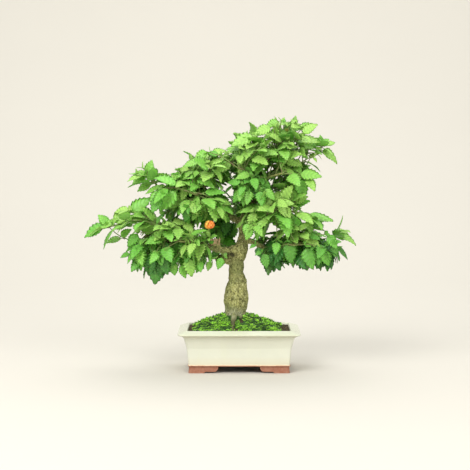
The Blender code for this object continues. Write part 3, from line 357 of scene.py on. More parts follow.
# Shoots and leaves that stand out from the rest, in millimetres: depth, the shoot's way as (x, z), then
# each leaf's foot and tip as (x, z, x, z), how far it turns up from the front, and its tone
OUTER_SPRIGS = (
    (-12, ((-165, 212), (-193, 219), (-213, 235)), (
        (-218, 237, -255, 219, 1.15, 0.3), (-213, 238, -230, 255, 0.3, 0.35),
        (-210, 238, -199, 250, 0.8, 0.25), (-192, 216, -217, 210, 1.3, 0.5), (-193, 219, -176, 232, 0.8, 0.3),
    )),
    (-16, ((-129, 234), (-142, 246), (-176, 253), (-202, 242)), (
        (-204, 242, -175, 264, 0.8, 0.25), (-176, 258, -144, 283, 0.8, 0.22),
        (-160, 266, -167, 253, 0.9, 0.8), (-173, 238, -186, 238, 1, 0.1), (-156, 227, -132, 238, 0.6, 0.25),
    )),
    (-10, ((-120, 291), (-128, 295), (-141, 310), (-149, 319)), (
        (-150, 320, -140, 343, 0.2, 0.25), (-151, 320, -168, 324, 0.6, 0.3), (-152, 320, -174, 305, 0.5, 0.6),
        (-142, 306, -167, 293, 1, 0.25), (-132, 310, -114, 318, 0.8, 0.3),
    )),
    (-30, (), (
        (-28, 186, -34, 167, 0.4, 0.45), (-47, 180, -51, 165, 0.6, 0.4), (-61, 179, -68, 162, 0.4, 0.6),
    )),
    (20, (), (
        (-18, 193, -29, 177, 0.5, 0.9), (-35, 195, -44, 180, 0.5, 0.85), (-24, 196, -17, 179, 0.5, 0.9),
    )),
    (-28, (), (
        (-51, 356, -74, 347, 0.6, 0.3), (-67, 341, -89, 334, 1, 0.2), (-164, 225, -179, 203, 0.5, 0.6),
        (-177, 192, -193, 188, 1.1, 0.6), (-160, 182, -176, 166, 0.8, 0.8),
    )),
    (-46, (), (
        (-131, 183, -138, 142, 0.5, 0.95), (-122, 187, -117, 159, 0.5, 0.9), (-140, 191, -148, 157, 0.9, 0.9),
        (-129, 193, -124, 176, 0.4, 0.5), (-82, 187, -76, 156, 0.2, 0.35), (-96, 174, -82, 156, 0.9, 0.4),
        (-106, 180, -105, 157, 0.8, 0.5), (-63, 182, -61, 165, 0.7, 0.45), (-82, 265, -86, 243, 0.2, 0.9),
        (-126, 285, -140, 261, 0.7, 0.7),
    )),
    (-8, ((99, 338), (114, 347), (129, 357), (133, 368)), (
        (135, 359, 165, 345, 1.05, 0.35), (134, 371, 125, 381, 0.4, 0.1), (134, 371, 146, 378, 0.8, 0.2),
        (134, 370, 131, 383, 0.5, 0.15), (99, 368, 124, 366, 0.8, 0.3), (103, 352, 112, 347, 0.6, 0.6),
    )),
    (-6, ((80, 366), (89, 377), (99, 392)), (
        (99, 394, 125, 401, 0.6, 0.2), (99, 393, 77, 404, 0.8, 0.15), (72, 399, 72, 412, 0.6, 0.2),
        (81, 392, 64, 385, 0.9, 0.6),
    )),
    (-24, ((54, 258), (80, 264), (98, 264), (110, 249)), (
        (111, 248, 151, 252, 1.25, 0.4), (111, 238, 133, 238, 1.25, 0.3), (86, 269, 114, 280, 1.1, 0.25),
        (83, 275, 59, 292, 0.4, 0.2), (62, 271, 36, 261, 0.8, 0.15),
    )),
    (-20, (), (
        (63, 406, 42, 397, 0.7, 0.15), (51, 397, 24, 386, 0.8, 0.15), (23, 382, -14, 370, 0.95, 0.2),
        (48, 372, 21, 363, 0.95, 0.2), (5, 363, -20, 361, 1.1, 0.2), (-34, 352, -50, 356, 0.7, 0.3),
    )),
    (-44, (), (
        (24, 261, 19, 235, 0.4, 0.1), (72, 252, 104, 241, 0.6, 0.5), (112, 225, 130, 218, 0.7, 0.6),
        (141, 223, 159, 204, 0.4, 0.75), (136, 200, 142, 172, 0.2, 0.97), (154, 209, 153, 187, 0.5, 0.97),
        (108, 204, 116, 168, 0.5, 0.82), (79, 213, 86, 176, 0.4, 0.77), (60, 213, 59, 193, 0.5, 0.72),
        (38, 194, 48, 171, 0.5, 1), (29, 204, 34, 188, 0.5, 1),
    )),
)
# The crown's upper outline as (x, z), above which no added leaf rises
RIDGE = metres((
    (-260, 236), (-218, 260), (-190, 267), (-167, 272), (-144, 296), (-115, 317), (-97, 329), (-74, 350),
    (-41, 359), (-18, 364), (32, 392), (56, 407), (100, 407), (125, 398), (143, 376), (170, 347), (185, 256),
    (220, 244),
))
# Openings of the crown that no added leaf fills: middle and half sizes as (x, z, x, z)
GAPS = metres((
    (50, 374, 13, 7), (92, 383, 27, 11), (130, 365, 7, 8), (124, 354, 14, 11), (125, 328, 11, 21),
    (104, 348, 10, 8), (-146, 290, 15, 8), (-178, 238, 22, 9), (-133, 265, 13, 7), (-93, 253, 13, 8),
    (-46, 250, 11, 8), (61, 238, 10, 9), (50, 237, 10, 9), (92, 255, 14, 7), (110, 264, 13, 10),
    (128, 272, 13, 15), (29, 181, 10, 21), (-198, 204, 16, 11), (18, 268, 5, 7), (26, 283, 7, 10),
    (-12, 260, 4, 6), (-102, 336, 5, 8), (-162, 178, 8, 8), (-43, 208, 7, 6), (2, 228, 5, 12),
    (-9, 247, 5, 4), (-20, 256, 6, 5),
))
# Added growth: the tries of a leaf, the share of its length that has to be clear, how far it strays,
# and between which shares of a pad's half sizes a shoot ends
FILL_TRIES = 6
FILL_TEST = 0.70
LOOSE = 0.45
DENSE = (0.25, 0.95)
# The long shoots' tone, how much younger and paler a pad's top is and older and darker its bottom, partly
# age and partly painted light and shade, how far leaves turn to the front, the flower shoot's leaves beside
# the source's, and the length of an unfolding leaf
SHOOT_TONE = 0.30
HEIGHT_AGE_AND_SHADE = 0.20
FRONT_TURN = 0.30
FLOWER_LEAF = 0.52
TIP_LEAF = 0.011
# Florets in the head, their kinds, and their sides
HEAD_FLORETS = 26
FLORET_KINDS = 3
FLORET_SIDES = 16
# Lumps on the trunk, in millimetres: centre, radius and stretch upwards
KNOTS = (
    ((-9, -4, 193), 10.8, 1.1), ((5.5, -1, 198.5), 9.5, 1.1), ((4, 0, 213), 7, 1.2), ((3, 0, 244), 7, 1.1),
    ((5, 0, 143), 8.2, 1.3), ((-34, -14, 199), 6.6, 1.0), ((-16, -2, 112), 9.5, 1.5),
    ((5.5, -4, 117), 10, 1.7), ((-15.5, 0, 100), 8, 1.1), ((-3, 0, 170), 11.4, 1.6),
    ((-6.5, 0, 150), 11.4, 1.2), ((-40, -20, 207), 7, 0.9), ((-17, 4, 178.5), 7.6, 1.0),
    ((-26, 8, 178.5), 6.6, 1.0), ((-34, 13, 179.5), 5.6, 1.0),
)
# Hollows in the bark: centre, radius and depth; the bark is also painted dark towards each one's middle, as
# painted shade
HOLLOWS = metres((((-11.5, -13, 188), 7, 3.4), ((-20, -13, 188.5), 6.5, 3), ((-29, -12, 189.5), 5.5, 2.4),
                  ((12, -10, 206), 3.5, 1.2)))
# The pruned stub's torn end: its middle, the way it points, its radius, how much wider than deep it is,
# how many splinters it has, and the width of the space kept open before it
STUB_END = (-0.0400, -0.0210, 0.2100)
STUB_WAY = (-0.10, -0.10, 1.0)
STUB_RADIUS = 0.0046
STUB_SPREAD = 1.9
STUB_SPLINTERS = 30
STUB_OPEN = (0.010, 0.045)
# Camera, from the pot's centre, and the stage: its flat middle's radius, how far and how high its bowl
# rises from there, and the bowl's sides and steps
CAMERA_AT = (-0.0067, -2.065, 0.3646)
CAMERA_DOWN = 0.06962
CAMERA_LENS = 96.66
STAGE_FLAT = 1.2
STAGE_WIDE = 3.0
STAGE_HIGH = 2.6
STAGE_SIDES = 64
STAGE_STEPS = 24
# Lights: place, aim, width, and strength beside the key's setting or, for all the others, the fill's
LIGHTS = {
    "key": ((-1.0, -1.5, 1.75), (0.0, 0.0, 0.22), 1.3, 1.0),
    "fill": ((1.2, -1.7, 1.15), (0.0, 0.0, 0.22), 1.2, 1.0),
    "top": ((0.1, 0.5, 2.0), (0.0, 0.0, 0.25), 1.6, 1.0),
    "wash": ((0.0, 1.8, 2.6), (0.0, 4.2, 0.9), 2.2, 2.2),
}


# Settings that a user would change
def number(name, description, default, **limits):
    return bpy.props.FloatProperty(name=name, description=description, default=default, **limits)


def length(name, description, default):
    return number(name, description, default, min=0.0, unit="LENGTH", subtype="DISTANCE", precision=5)


def share(name, description, default):
    return number(name, description, default, min=0.0, max=1.0, subtype="FACTOR")


def scale(name, description):
    return number(name, description, 1.0, min=0.1, max=2.0)


def colour(name, description, default):
    return bpy.props.FloatVectorProperty(
        name=name, description=description, default=default, size=3, subtype="COLOR", min=0.0, max=1.0
    )


class BonsaiPotSettings(bpy.types.PropertyGroup):
    glaze: colour("Glaze", "Cream glaze on the wall", (0.70, 0.71, 0.59))
    lip: colour("Lip glaze", "Paler glaze where it pools on the lip", (0.695, 0.71, 0.535))
    clay: colour("Clay", "Bare fired clay of the feet", (0.285, 0.100, 0.055))
    glaze_roughness: share("Glaze roughness", "Roughness of the glaze", 0.22)


class BonsaiGroundSettings(bpy.types.PropertyGroup):
    soil: colour("Soil", "Damp potting grit", (0.046, 0.034, 0.019))
    grit: colour("Grit", "Pale grains in the soil", (0.105, 0.088, 0.036))
    moss: colour("Moss", "Lit tips of the moss", (0.345, 0.78, 0.045))
    # Painted shade: the deep green of the carpet and of the gaps between the tufts
    moss_shade: colour("Moss shade", "Moss between its tips", (0.031, 0.096, 0.011))
    grain: length("Grain size", "Size of a grain of grit", 0.0016)
    tuft: length("Tuft size", "Width of a tuft of moss", 0.0082)
    tuft_density: number("Tuft density", "Tufts of moss a square metre", 115000.0, min=0.0)
    grain_density: number("Grain density", "Grains of grit a square metre", 420000.0, min=0.0)


class BonsaiWoodSettings(bpy.types.PropertyGroup):
    bark: colour("Bark", "Olive brown bark", (0.282, 0.280, 0.098))
    bark_pale: colour("Pale bark", "Pale flakes on the bark", (0.59, 0.59, 0.29))
    # Dark flecks, and the painted shade in the cracks, pits and hollows
    bark_dark_and_shade: colour("Bark cracks", "Dark of the cracks and hollows", (0.030, 0.027, 0.013))
    torn: colour("Torn wood", "Bare wood of the pruned stub", (0.64, 0.50, 0.28))
    relief: length("Bark relief", "Height of the bark's plates", 0.0006)


class BonsaiFoliageSettings(bpy.types.PropertyGroup):
    young: colour("Young leaf", "Leaves at the tips", (0.50, 0.80, 0.17))
    grown: colour("Grown leaf", "Leaves in full size", (0.262, 0.700, 0.094))
    old: colour("Old leaf", "Oldest, bluest leaves", (0.044, 0.210, 0.034))
    stem: colour("Green stem", "Green shoots and leaf stalks", (0.20, 0.33, 0.075))
    leaf_scale: scale("Leaf scale", "Size of all leaves beside their measured size")
    glow: share("Light through", "Share of the light that passes through a leaf", 0.30)


class BonsaiFlowerSettings(bpy.types.PropertyGroup):
    petal: colour("Petal", "Orange florets", (0.88, 0.22, 0.050))
    petal_young: colour("Young petal", "Yellow florets", (0.92, 0.55, 0.09))
    bud: colour("Bud", "Closed buds", (0.30, 0.34, 0.055))
    floret_scale: scale("Floret scale", "Size of the florets beside their measured size")


class BonsaiStageSettings(bpy.types.PropertyGroup):
    floor: colour("Floor", "Pale floor", (0.605, 0.575, 0.505))
    key_power: number("Key light", "Power of the key light", 42.0, unit="POWER")
    fill_power: number("Fill light", "Power of the fill", 20.0, unit="POWER")
    sky: share("Sky light", "Strength of the even light all round", 0.80)


# Meshes
def linked(name, data):
    """A new object in the scene."""
    made = bpy.data.objects.new(name, data)
    bpy.context.scene.collection.objects.link(made)
    return made


def mesh_object(name, shape, materials=(), marks=None):
    """An object from (points, faces) round the pot's centre; marks gives each face its material's number."""
    mesh = bpy.data.meshes.new(name)
    mesh.from_pydata([tuple(Vector(point) + PLACE) for point in shape[0]], [], shape[1])
    for finish in materials:
        mesh.materials.append(finish)
    if marks is not None:
        mesh.polygons.foreach_set("material_index", marks)
    mesh.shade_smooth()
    mesh.update()
    return linked(name, mesh)


def settle(made):
    """Applies the object's modifiers."""
    graph = bpy.context.evaluated_depsgraph_get()
    mesh = bpy.data.meshes.new_from_object(made.evaluated_get(graph))
    made.modifiers.clear()
    made.data = mesh
    mesh.name = made.name
    return made


def joined(shapes):
    """Several (points, faces) shapes as one."""
    points, faces = [], []
    for some_points, some_faces in shapes:
        first = len(points)
        points += list(some_points)
        faces += [tuple(first + k for k in face) for face in some_faces]
    return points, faces


def boolean(made, shapes, operation):
    """Joins to the object, or cuts from it, every one of the shapes."""
    group = bpy.data.collections.new(made.name + "_helpers")
    for shape in shapes:
        helper = mesh_object(made.name + "_helper", shape)
        bpy.context.scene.collection.objects.unlink(helper)
        group.objects.link(helper)
    modifier = made.modifiers.new("join", "BOOLEAN")
    modifier.operation = operation
    modifier.operand_type = "COLLECTION"
    modifier.collection = group
    modifier.solver = "EXACT"
    settle(made)
    for helper in list(group.objects):
        bpy.data.objects.remove(helper)
    bpy.data.collections.remove(group)


def refinish(mesh, finish):
    """Gives the mesh this material alone."""
    mesh.materials.clear()
    mesh.materials.append(finish)


def dress(piece, nodes):
    """Hangs a finished piece on the root body and hides the CAD nodes it stands for; the whole bonsai is one
    body.
    """
    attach(piece, "root")
    if nodes:
        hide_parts(*nodes)


def cad_shape(node):
    """(points, faces) of a CAD node, round the pot's centre."""
    mesh = frame["nodes"][node].data
    return [point.co - PLACE for point in mesh.vertices], [tuple(face.vertices) for face in mesh.polygons]


def surface_tree(shape):
    return BVHTree.FromPolygons([tuple(point) for point in shape[0]], shape[1])


# Material nodes
def put(tree, node, values):
    """Sets a node's sockets, by name or number, each to a value or to another node's output."""
    for key, value in values.items():
        if isinstance(value, bpy.types.NodeSocket):
            tree.links.new(value, node.inputs[key])
        else:
            node.inputs[key].default_value = value


def add(tree, kind, inputs=None, output=0, **settings):
    """An output, by name or number, of a new node with these inputs and settings."""
    made = tree.nodes.new(kind)
    for key, value in settings.items():
        setattr(made, key, value)
    put(tree, made, inputs or {})
    return made.outputs[output]


class Finish:
    """A material in the making: its methods add nodes over Object coordinates and give their outputs."""

    def __init__(self, name, view_colour, roughness, specular=0.5):
        self.made = bpy.data.materials.new(name)
        self.made.use_nodes = True
        self.made.diffuse_color = (*view_colour, 1.0)
        self.tree = self.made.node_tree
        self.shader = self.tree.nodes["Principled BSDF"]
        put(self.tree, self.shader, {"Roughness": roughness, "Specular IOR Level": specular})
        self.at = add(self.tree, "ShaderNodeTexCoord", output="Object")

    def mix(self, factor, first, second, kind="MIX"):
        given = {0: factor}
        for socket, value in ((6, first), (7, second)):
            given[socket] = value if isinstance(value, bpy.types.NodeSocket) else (*value, 1.0)
        return add(self.tree, "ShaderNodeMix", given, 2, data_type="RGBA", blend_type=kind)

    def math(self, operation, *values):
        return add(self.tree, "ShaderNodeMath", dict(enumerate(values)), operation=operation)

    def span(self, value, low, high, to_low=0.0, to_high=1.0):
        """The value taken from one range to another and kept in it."""
        given = dict(enumerate((value, low, high, to_low, to_high)))
        return add(self.tree, "ShaderNodeMapRange", given)

    def grain(self, scale, detail=4.0, rough=0.55, squeeze=(1.0, 1.0, 1.0)):
        """Noise, squeezed along an axis where a pattern runs long."""
        mapped = add(self.tree, "ShaderNodeMapping", {"Vector": self.at, "Scale": squeeze})
        given = {"Vector": mapped, "Scale": scale, "Detail": detail, "Roughness": rough}
        return add(self.tree, "ShaderNodeTexNoise", given)

    def bump(self, height, strength, distance, normal=None):
        given = {"Height": height, "Strength": strength, "Distance": distance}
        if normal is not None:
            given["Normal"] = normal
        return add(self.tree, "ShaderNodeBump", given)

    def mark(self, name):
        return add(self.tree, "ShaderNodeAttribute", output="Fac", attribute_name=name)

    def height(self):
        return add(self.tree, "ShaderNodeSeparateXYZ", {0: self.at}, 2)

    def chart(self):
        """Both axes of the piece's own blade chart."""
        spot = add(self.tree, "ShaderNodeUVMap", uv_map="blade")
        return add(self.tree, "ShaderNodeSeparateXYZ", {0: spot}, slice(2))

    def layers(self, base, *coats):
        """The base colour under coats of (factor, colour)."""
        for factor, shade in coats:
            base = self.mix(factor, base, shade)
        return base

    def done(self, base, normal, more=None):
        put(self.tree, self.shader, {"Base Color": base, "Normal": normal, **(more or {})})
        return self.made


def times(factor, shade):
    return [factor * part for part in shade]


def glaze_material(settings):
    """Cream glaze that pools pale on the lip, breaks thin and brown at its lower edge, and stops above clay
    feet; a band of painted shade darkens it under the lip.
    """
    m = Finish("cream_glaze", settings.glaze, settings.glaze_roughness)
    height, cloud, speck = m.height(), m.grain(22.0, 3.0), m.grain(900.0, 2.0)
    run = m.grain(60.0, 3.0, 0.6, (1.0, 1.0, 0.25))
    # under marks a thin band just under the lip's overhang, where the painted shade goes
    under = m.math("COMPARE", height, SHOULDER_HEIGHT + 0.0026, 0.0009)
    edge = m.math("MULTIPLY_ADD", m.grain(120.0), 0.0012, FOOT_HEIGHT + 0.0006)
    body = m.layers(
        settings.glaze,
        (m.span(cloud, 0.35, 0.70), times(0.955, settings.glaze)),
        (m.span(run, 0.55, 0.75, 0.0, 0.35), settings.lip),
        (m.span(height, FOOT_HEIGHT + 0.002, FOOT_HEIGHT + 0.016, 0.45, 0.0), (0.66, 0.56, 0.36)),
        (m.span(height, SHOULDER_HEIGHT + 0.0015, LIP_HEIGHT), settings.lip),
        # painted shade: a brownish band under the lip, uneven along the runs
        (m.math("MULTIPLY", under, m.span(run, 0.35, 0.65, 0.15, 0.55)), (0.42, 0.36, 0.24)),
        (m.span(speck, 0.70, 0.80, 0.0, 0.35), (0.42, 0.30, 0.16)),
        (m.span(m.math("SUBTRACT", height, edge), 0.0, 0.0016, 0.75, 0.0), (0.66, 0.36, 0.16)),
    )
    clay = m.mix(m.span(m.grain(260.0), 0.3, 0.7), settings.clay, (0.36, 0.165, 0.10))
    glazed = m.math("GREATER_THAN", height, edge)
    rough = m.span(glazed, 0.0, 1.0, 0.85, settings.glaze_roughness)
    pitted = m.math("MULTIPLY", speck, m.span(glazed, 0.0, 1.0, 1.0, 0.08))
    return m.done(m.mix(glazed, clay, body), m.bump(pitted, 0.5, 0.0004, m.bump(cloud, 0.25, 0.0008)), {
        "Roughness": m.math("MULTIPLY_ADD", speck, 0.08, rough), "Coat Weight": 0.15, "Coat Roughness": 0.10,
    })


def soil_material(settings):
    """Dark crumbly soil with paler crumbs."""
    m = Finish("potting_soil", settings.soil, 0.92, 0.25)
    crumb = m.grain(520.0, 5.0, 0.65)
    base = m.layers(
        settings.soil,
        (m.span(m.grain(90.0, 3.0), 0.35, 0.65), times(1.9, settings.soil)),
        (m.span(crumb, 0.60, 0.72, 0.0, 0.8), settings.grit),
    )
    return m.done(base, m.bump(crumb, 0.9, 0.0012))


def grit_material(settings):
    """Single grains, each in its own shade."""
    m = Finish("grit_grains", settings.grit, 0.85, 0.3)
    tone, fine = m.mark("tone"), m.grain(1500.0, 3.0)
    base = m.layers(
        settings.soil,
        (m.span(tone, 0.30, 0.62), settings.grit),
        (m.span(tone, 0.86, 0.98, 0.0, 0.8), (0.26, 0.22, 0.11)),
        (m.span(fine, 0.4, 0.7, 0.0, 0.4), (0.08, 0.06, 0.03)),
    )
    return m.done(base, m.bump(fine, 0.5, 0.0003))


def moss_material(settings):
    """Bright tips, the brightest with a painted highlight, over deep green painted as the shade between
    them, in clumps of slightly different green.
    """
    m = Finish("living_moss", settings.moss, 0.85, 0.2)
    fine = m.grain(1400.0, 4.0)
    clump = m.math("MULTIPLY", m.math("SUBTRACT", m.grain(110.0, 3.0), 0.5), 1.3)
    lit = m.math("ADD", m.mark("tone"), clump)
    base = m.layers(
        settings.moss_shade,
        (m.span(lit, 0.14, 0.66), settings.moss),
        # painted highlight on the brightest tufts
        (m.span(lit, 0.80, 1.15, 0.0, 0.7), (0.39, 0.68, 0.06)),
        # fine flecks of painted shade
        (m.span(fine, 0.45, 0.75, 0.0, 0.45), settings.moss_shade),
    )
    return m.done(base, m.bump(fine, 0.6, 0.0004), {"Sheen Weight": 0.2})


def bark_material(settings):
    """Olive bark with pale flakes and dark flecks, cracks and pits darkened from the mesh's own relief,
    partly their own dark and partly painted shade, painted shade in the hollows, and a green bloom.
    """
    m = Finish("bark", settings.bark, 0.88, 0.25)
    patch = m.grain(70.0, 3.0, 0.6, (1.0, 1.0, 0.7))
    fleck = m.grain(330.0, 4.0, 0.7, (1.0, 1.0, 0.8))
    fine = m.grain(1500.0, 4.0, 0.7, (1.0, 1.0, 0.4))
    height = m.height()
    foot = m.span(height, MOUND_TOP + 0.014, MOUND_TOP + 0.001)
    base = m.layers(
        times(0.72, settings.bark),
        (m.span(patch, 0.36, 0.64), times(1.5, settings.bark)),
        (m.span(fleck, 0.52, 0.66, 0.0, 0.85), settings.bark_pale),
        (m.span(fleck, 0.47, 0.37, 0.0, 0.80), settings.bark_dark_and_shade),
        (m.span(m.grain(34.0, 2.0), 0.48, 0.62, 0.0, 0.55), (0.17, 0.20, 0.065)),
        (m.math("MULTIPLY", foot, m.span(patch, 0.40, 0.58, 0.0, 0.45)), (0.40, 0.40, 0.34)),
        (m.span(height, MOUND_TOP - 0.001, MOUND_TOP - 0.009, 0.0, 0.85), (0.070, 0.070, 0.026)),
        # painted shade in the cracks, pits and hollows, over the cracks' own dark
        (m.span(m.mark("crack"), 0.15, 0.95, 0.0, 0.92), settings.bark_dark_and_shade),
    )
    return m.done(base, m.bump(fine, 0.5, 0.0004, m.bump(fleck, 0.8, 0.0009)))


def torn_material(settings):
    """Splintered wood, streaked along its grain."""
    m = Finish("torn_wood", settings.torn, 0.8, 0.3)
    streak = m.grain(500.0, 4.0, 0.6, (1.0, 1.0, 0.12))
    base = m.mix(m.span(streak, 0.35, 0.65), settings.torn, (0.27, 0.165, 0.080))
    return m.done(base, m.bump(streak, 0.8, 0.0005))


def leaf_material(settings):
    """Veined, puckered blade, paler underneath, that lets some light through."""
    m = Finish("lantana_leaf", settings.grown, 0.40, 0.50)
    across, along = m.chart()
    below = m.math("GREATER_THAN", across, BELOW / 2)
    side = m.math("ABSOLUTE", m.math("MULTIPLY_ADD", below, -BELOW, across))
    slant = m.math("MULTIPLY_ADD", side, -0.16, along)
    wave = m.math("PINGPONG", m.math("MULTIPLY", slant, LEAF_ROWS / 2), 0.5)
    vein = m.math("MAXIMUM", m.span(side, 0.035, 0.085, 1.0, 0.0), m.span(wave, 0.05, 0.13, 0.7, 0.0))
    patch = m.math("SUBTRACT", m.grain(120.0, 3.0), 0.5)
    age = m.math("MULTIPLY_ADD", patch, 0.35, m.mark("tone"))
    base = m.layers(
        settings.young,
        (m.span(age, 0.0, 0.5), settings.grown),
        (m.span(age, 0.5, 1.0), settings.old),
        # painted shade: darker along the sunken veins, fading out on the puffs between them
        (m.span(wave, 0.0, 0.5, 0.22, 0.0), settings.old),
    )
    base = m.mix(m.math("MULTIPLY", vein, 0.55), base, m.mix(0.45, base, (0.34, 0.55, 0.16)))
    base = m.mix(m.math("MULTIPLY", below, 0.55), base, (0.26, 0.49, 0.15))
    puff = m.math("SUBTRACT", m.math("SQRT", m.math("MAXIMUM", wave, 0.001)), vein)
    normal = m.bump(m.grain(1300.0, 3.0), 0.25, 0.0002, m.bump(puff, 0.45, 0.0008))
    glow = m.mix(0.5, m.mix(1.0, base, (1.0, 1.0, 0.45), "MULTIPLY"), (0.40, 0.84, 0.04))
    through = add(m.tree, "ShaderNodeBsdfTranslucent", {"Color": glow, "Normal": normal})
    mixed = add(m.tree, "ShaderNodeMixShader", {0: settings.glow, 1: m.shader.outputs[0], 2: through})
    m.tree.links.new(mixed, m.tree.nodes["Material Output"].inputs["Surface"])
    return m.done(base, normal)


def stem_material(name, lit, dark):
    """Green stem, browner in places."""
    m = Finish(name, lit, 0.6, 0.35)
    base = m.mix(m.span(m.grain(160.0, 3.0), 0.40, 0.68), lit, dark)
    return m.done(base, m.bump(m.grain(1600.0), 0.3, 0.0002))


def petal_material(settings):
    """Orange petals, yellow in the throat and over the whole floret where it is young."""
    m = Finish("lantana_petal", settings.petal, 0.5, 0.3)
    young = m.math("MAXIMUM", m.span(m.chart()[0], 0.20, 0.60, 0.85, 0.0), m.mark("tone"))
    blush = m.span(m.grain(900.0), 0.4, 0.7, 0.0, 0.25)
    base = m.layers(settings.petal, (young, settings.petal_young), (blush, (0.95, 0.38, 0.10)))
    return m.done(base, m.bump(m.grain(1800.0), 0.3, 0.0002), {
        "Subsurface Weight": 0.12, "Subsurface Radius": (1.0, 0.35, 0.1), "Subsurface Scale": 0.0008,
    })


def mesh_material():
    m = Finish("drain_mesh_plastic", (0.02, 0.02, 0.02), 0.5, 0.4)
    scuff = m.grain(600.0)
    return m.done(m.mix(scuff, (0.012, 0.012, 0.012), (0.05, 0.048, 0.044)), m.bump(scuff, 0.3, 0.0002))


def wire_material():
    m = Finish("clip_wire", (0.6, 0.6, 0.58), 0.4)
    stain = m.grain(300.0)
    return m.done(m.mix(stain, (0.70, 0.69, 0.66), (0.42, 0.40, 0.37)), m.bump(stain, 0.1, 0.0001), {
        "Metallic": 1.0, "Roughness": m.span(stain, 0.3, 0.7, 0.28, 0.5),
    })


# Shapes are (points, faces) pairs until they become objects
def full_turn(count):
    """Angles spread evenly round a circle."""
    return [2 * math.pi * k / count for k in range(count)]


def spoke(side, across, turn):
    return side * math.cos(turn) + across * math.sin(turn)


def leaning(up, side, across, lean, turn):
    """Direction that leans away from up, to the side that turn gives."""
    return up * math.cos(lean) + spoke(side, across, turn) * math.sin(lean)


def lofted(rings, capped=True):
    """Shape through rings that hold the same number of points, counted anticlockwise from above."""
    size = len(rings[0])
    points = [point for ring in rings for point in ring]
    faces = []
    for k in range(len(rings) - 1):
        for i in range(size):
            a, b = k * size + i, k * size + (i + 1) % size
            faces += [(a, b, b + size), (a, b + size, a + size)]
    if capped:
        faces += [tuple(reversed(range(size))), tuple(range(len(points) - size, len(points)))]
    return points, faces


def closed_loft(rings, first, last):
    """Closed shape through rings, drawn together at a first and a last point."""
    points, faces = lofted(rings, False)
    size, count = len(rings[0]), len(points)
    end = count - size
    faces += [((i + 1) % size, i, count) for i in range(size)]
    faces += [(end + i, end + (i + 1) % size, count + 1) for i in range(size)]
    return points + [Vector(first), Vector(last)], faces


def smooth_route(route, steps):
    """Points (x, y, z, radius) on a Catmull-Rom curve through the route's own."""
    knots = [Vector(knot) for knot in route]
    knots = [2 * knots[0] - knots[1]] + knots + [2 * knots[-1] - knots[-2]]
    samples = []
    for a, b, c, d in zip(knots, knots[1:], knots[2:], knots[3:]):
        for k in range(steps):
            t = k / steps
            bend = (2 * a - 5 * b + 4 * c - d) * t**2 + (3 * b - a - 3 * c + d) * t**3
            samples.append(0.5 * (2 * b + (c - a) * t + bend))
    return samples + [knots[-2]]


def tube(samples, sides, relief=0.0, grow=0.0):
    """Closed tube through (x, y, z, radius) samples; relief lifts its skin in bark lumps."""
    centres = [Vector(sample[:3]) for sample in samples]
    side = None
    rings = []
    for k, centre in enumerate(centres):
        along = (centres[min(k + 1, len(centres) - 1)] - centres[max(k - 1, 0)]).normalized()
        side = along.orthogonal() if side is None else side - along * side.dot(along)
        side.normalize()
        across = along.cross(side)
        if k in (0, len(centres) - 1):
            centre = centre + along * (grow if k else -grow)
        ring = []
        for turn in full_turn(sides):
            out = spoke(side, across, turn)
            lump = 1 + relief * noise.noise((centres[k] + out * 0.02) * 60)
            ring.append(centre + out * (samples[k][3] * lump + grow))
        rings.append(ring)
    return lofted(rings)


def frame_along(direction):
    up = Vector(direction).normalized()
    side = up.orthogonal().normalized()
    return up, side, up.cross(side)


def ball(centre, radius, stretch, up, rings, sides):
    """Low closed ball, stretched along up."""
    up, side, across = frame_along(up)
    levels = []
    for k in range(1, rings + 1):
        turn = math.pi * k / (rings + 1)
        level = centre - up * (radius * stretch * math.cos(turn))
        wide = radius * math.sin(turn)
        levels.append([level + spoke(side, across, around) * wide for around in full_turn(sides)])
    return closed_loft(levels, centre - up * radius * stretch, centre + up * radius * stretch)


def dome_directions(axis, count, spread):
    """Directions spread evenly over a dome round the axis."""
    up, side, across = frame_along(axis)
    found = []
    for k in range(count):
        lean = spread * math.sqrt(k / (count - 1))
        found.append(leaning(up, side, across, lean, GOLDEN_TURN * k))
    return found


# Pot
def rounded_profile(profile, reach):
    """The profile with each of its corners rounded off within reach."""
    points = [Vector((inset, height)) for inset, height in profile]
    made = [points[0]]
    for before, here, after in zip(points, points[1:], points[2:]):
        first = here.lerp(before, min(0.45, reach / (before - here).length))
        last = here.lerp(after, min(0.45, reach / (after - here).length))
        for k in range(4):
            t = k / 3
            made.append(first * (1 - t) ** 2 + here * (2 * t * (1 - t)) + last * t**2)
    return made + [points[-1]]


def rounded_ring(inset, height):
    """Rounded rectangle, its sides moved in from the lip's by inset."""
    half_x, half_y = LIP_HALF_X - inset, LIP_HALF_Y - inset
    radius = max(CORNER_RADIUS - 0.3 * inset, 0.002)
    ring = []
    for corner in range(4):
        centre_x = (half_x - radius) * (1 if corner in (0, 3) else -1)
        centre_y = (half_y - radius) * (1 if corner < 2 else -1)
        for step in range(CORNER_STEPS + 1):
            turn = math.pi / 2 * (corner + step / CORNER_STEPS)
            x, y = centre_x + radius * math.cos(turn), centre_y + radius * math.sin(turn)
            ring.append(Vector((x, y, height)))
    return ring


def arch_cutter(ends, reach, across_x):
    """Bar under the pot whose outline leaves two stepped bracket feet, running along X or Y."""
    foot, step, arch = ends
    half = [(foot + FOOT_STEP / 2, -CUT), (foot, FOOT_STEP * 0.6)]
    half += [(foot - FOOT_STEP, FOOT_STEP), (step, FOOT_STEP)]
    for k in range(1, ARCH_STEPS + 1):
        turn = math.pi / 2 * k / ARCH_STEPS
        rise = FOOT_HEIGHT - FOOT_STEP
        half.append((step - (step - arch) * math.sin(turn), FOOT_STEP + rise * (1 - math.cos(turn))))
    outline = half + [(-x, z) for x, z in reversed(half)]

    def end(side):
        return [Vector((side, x, z)) if across_x else Vector((-x, side, z)) for x, z in outline]

    return lofted([end(-reach), end(reach)])


def cylinder(x, y, radius, low, high, sides):
    ring = [(x + radius * math.cos(turn), y + radius * math.sin(turn)) for turn in full_turn(sides)]
    return lofted([[Vector((*point, z)) for point in ring] for z in (low, high)])


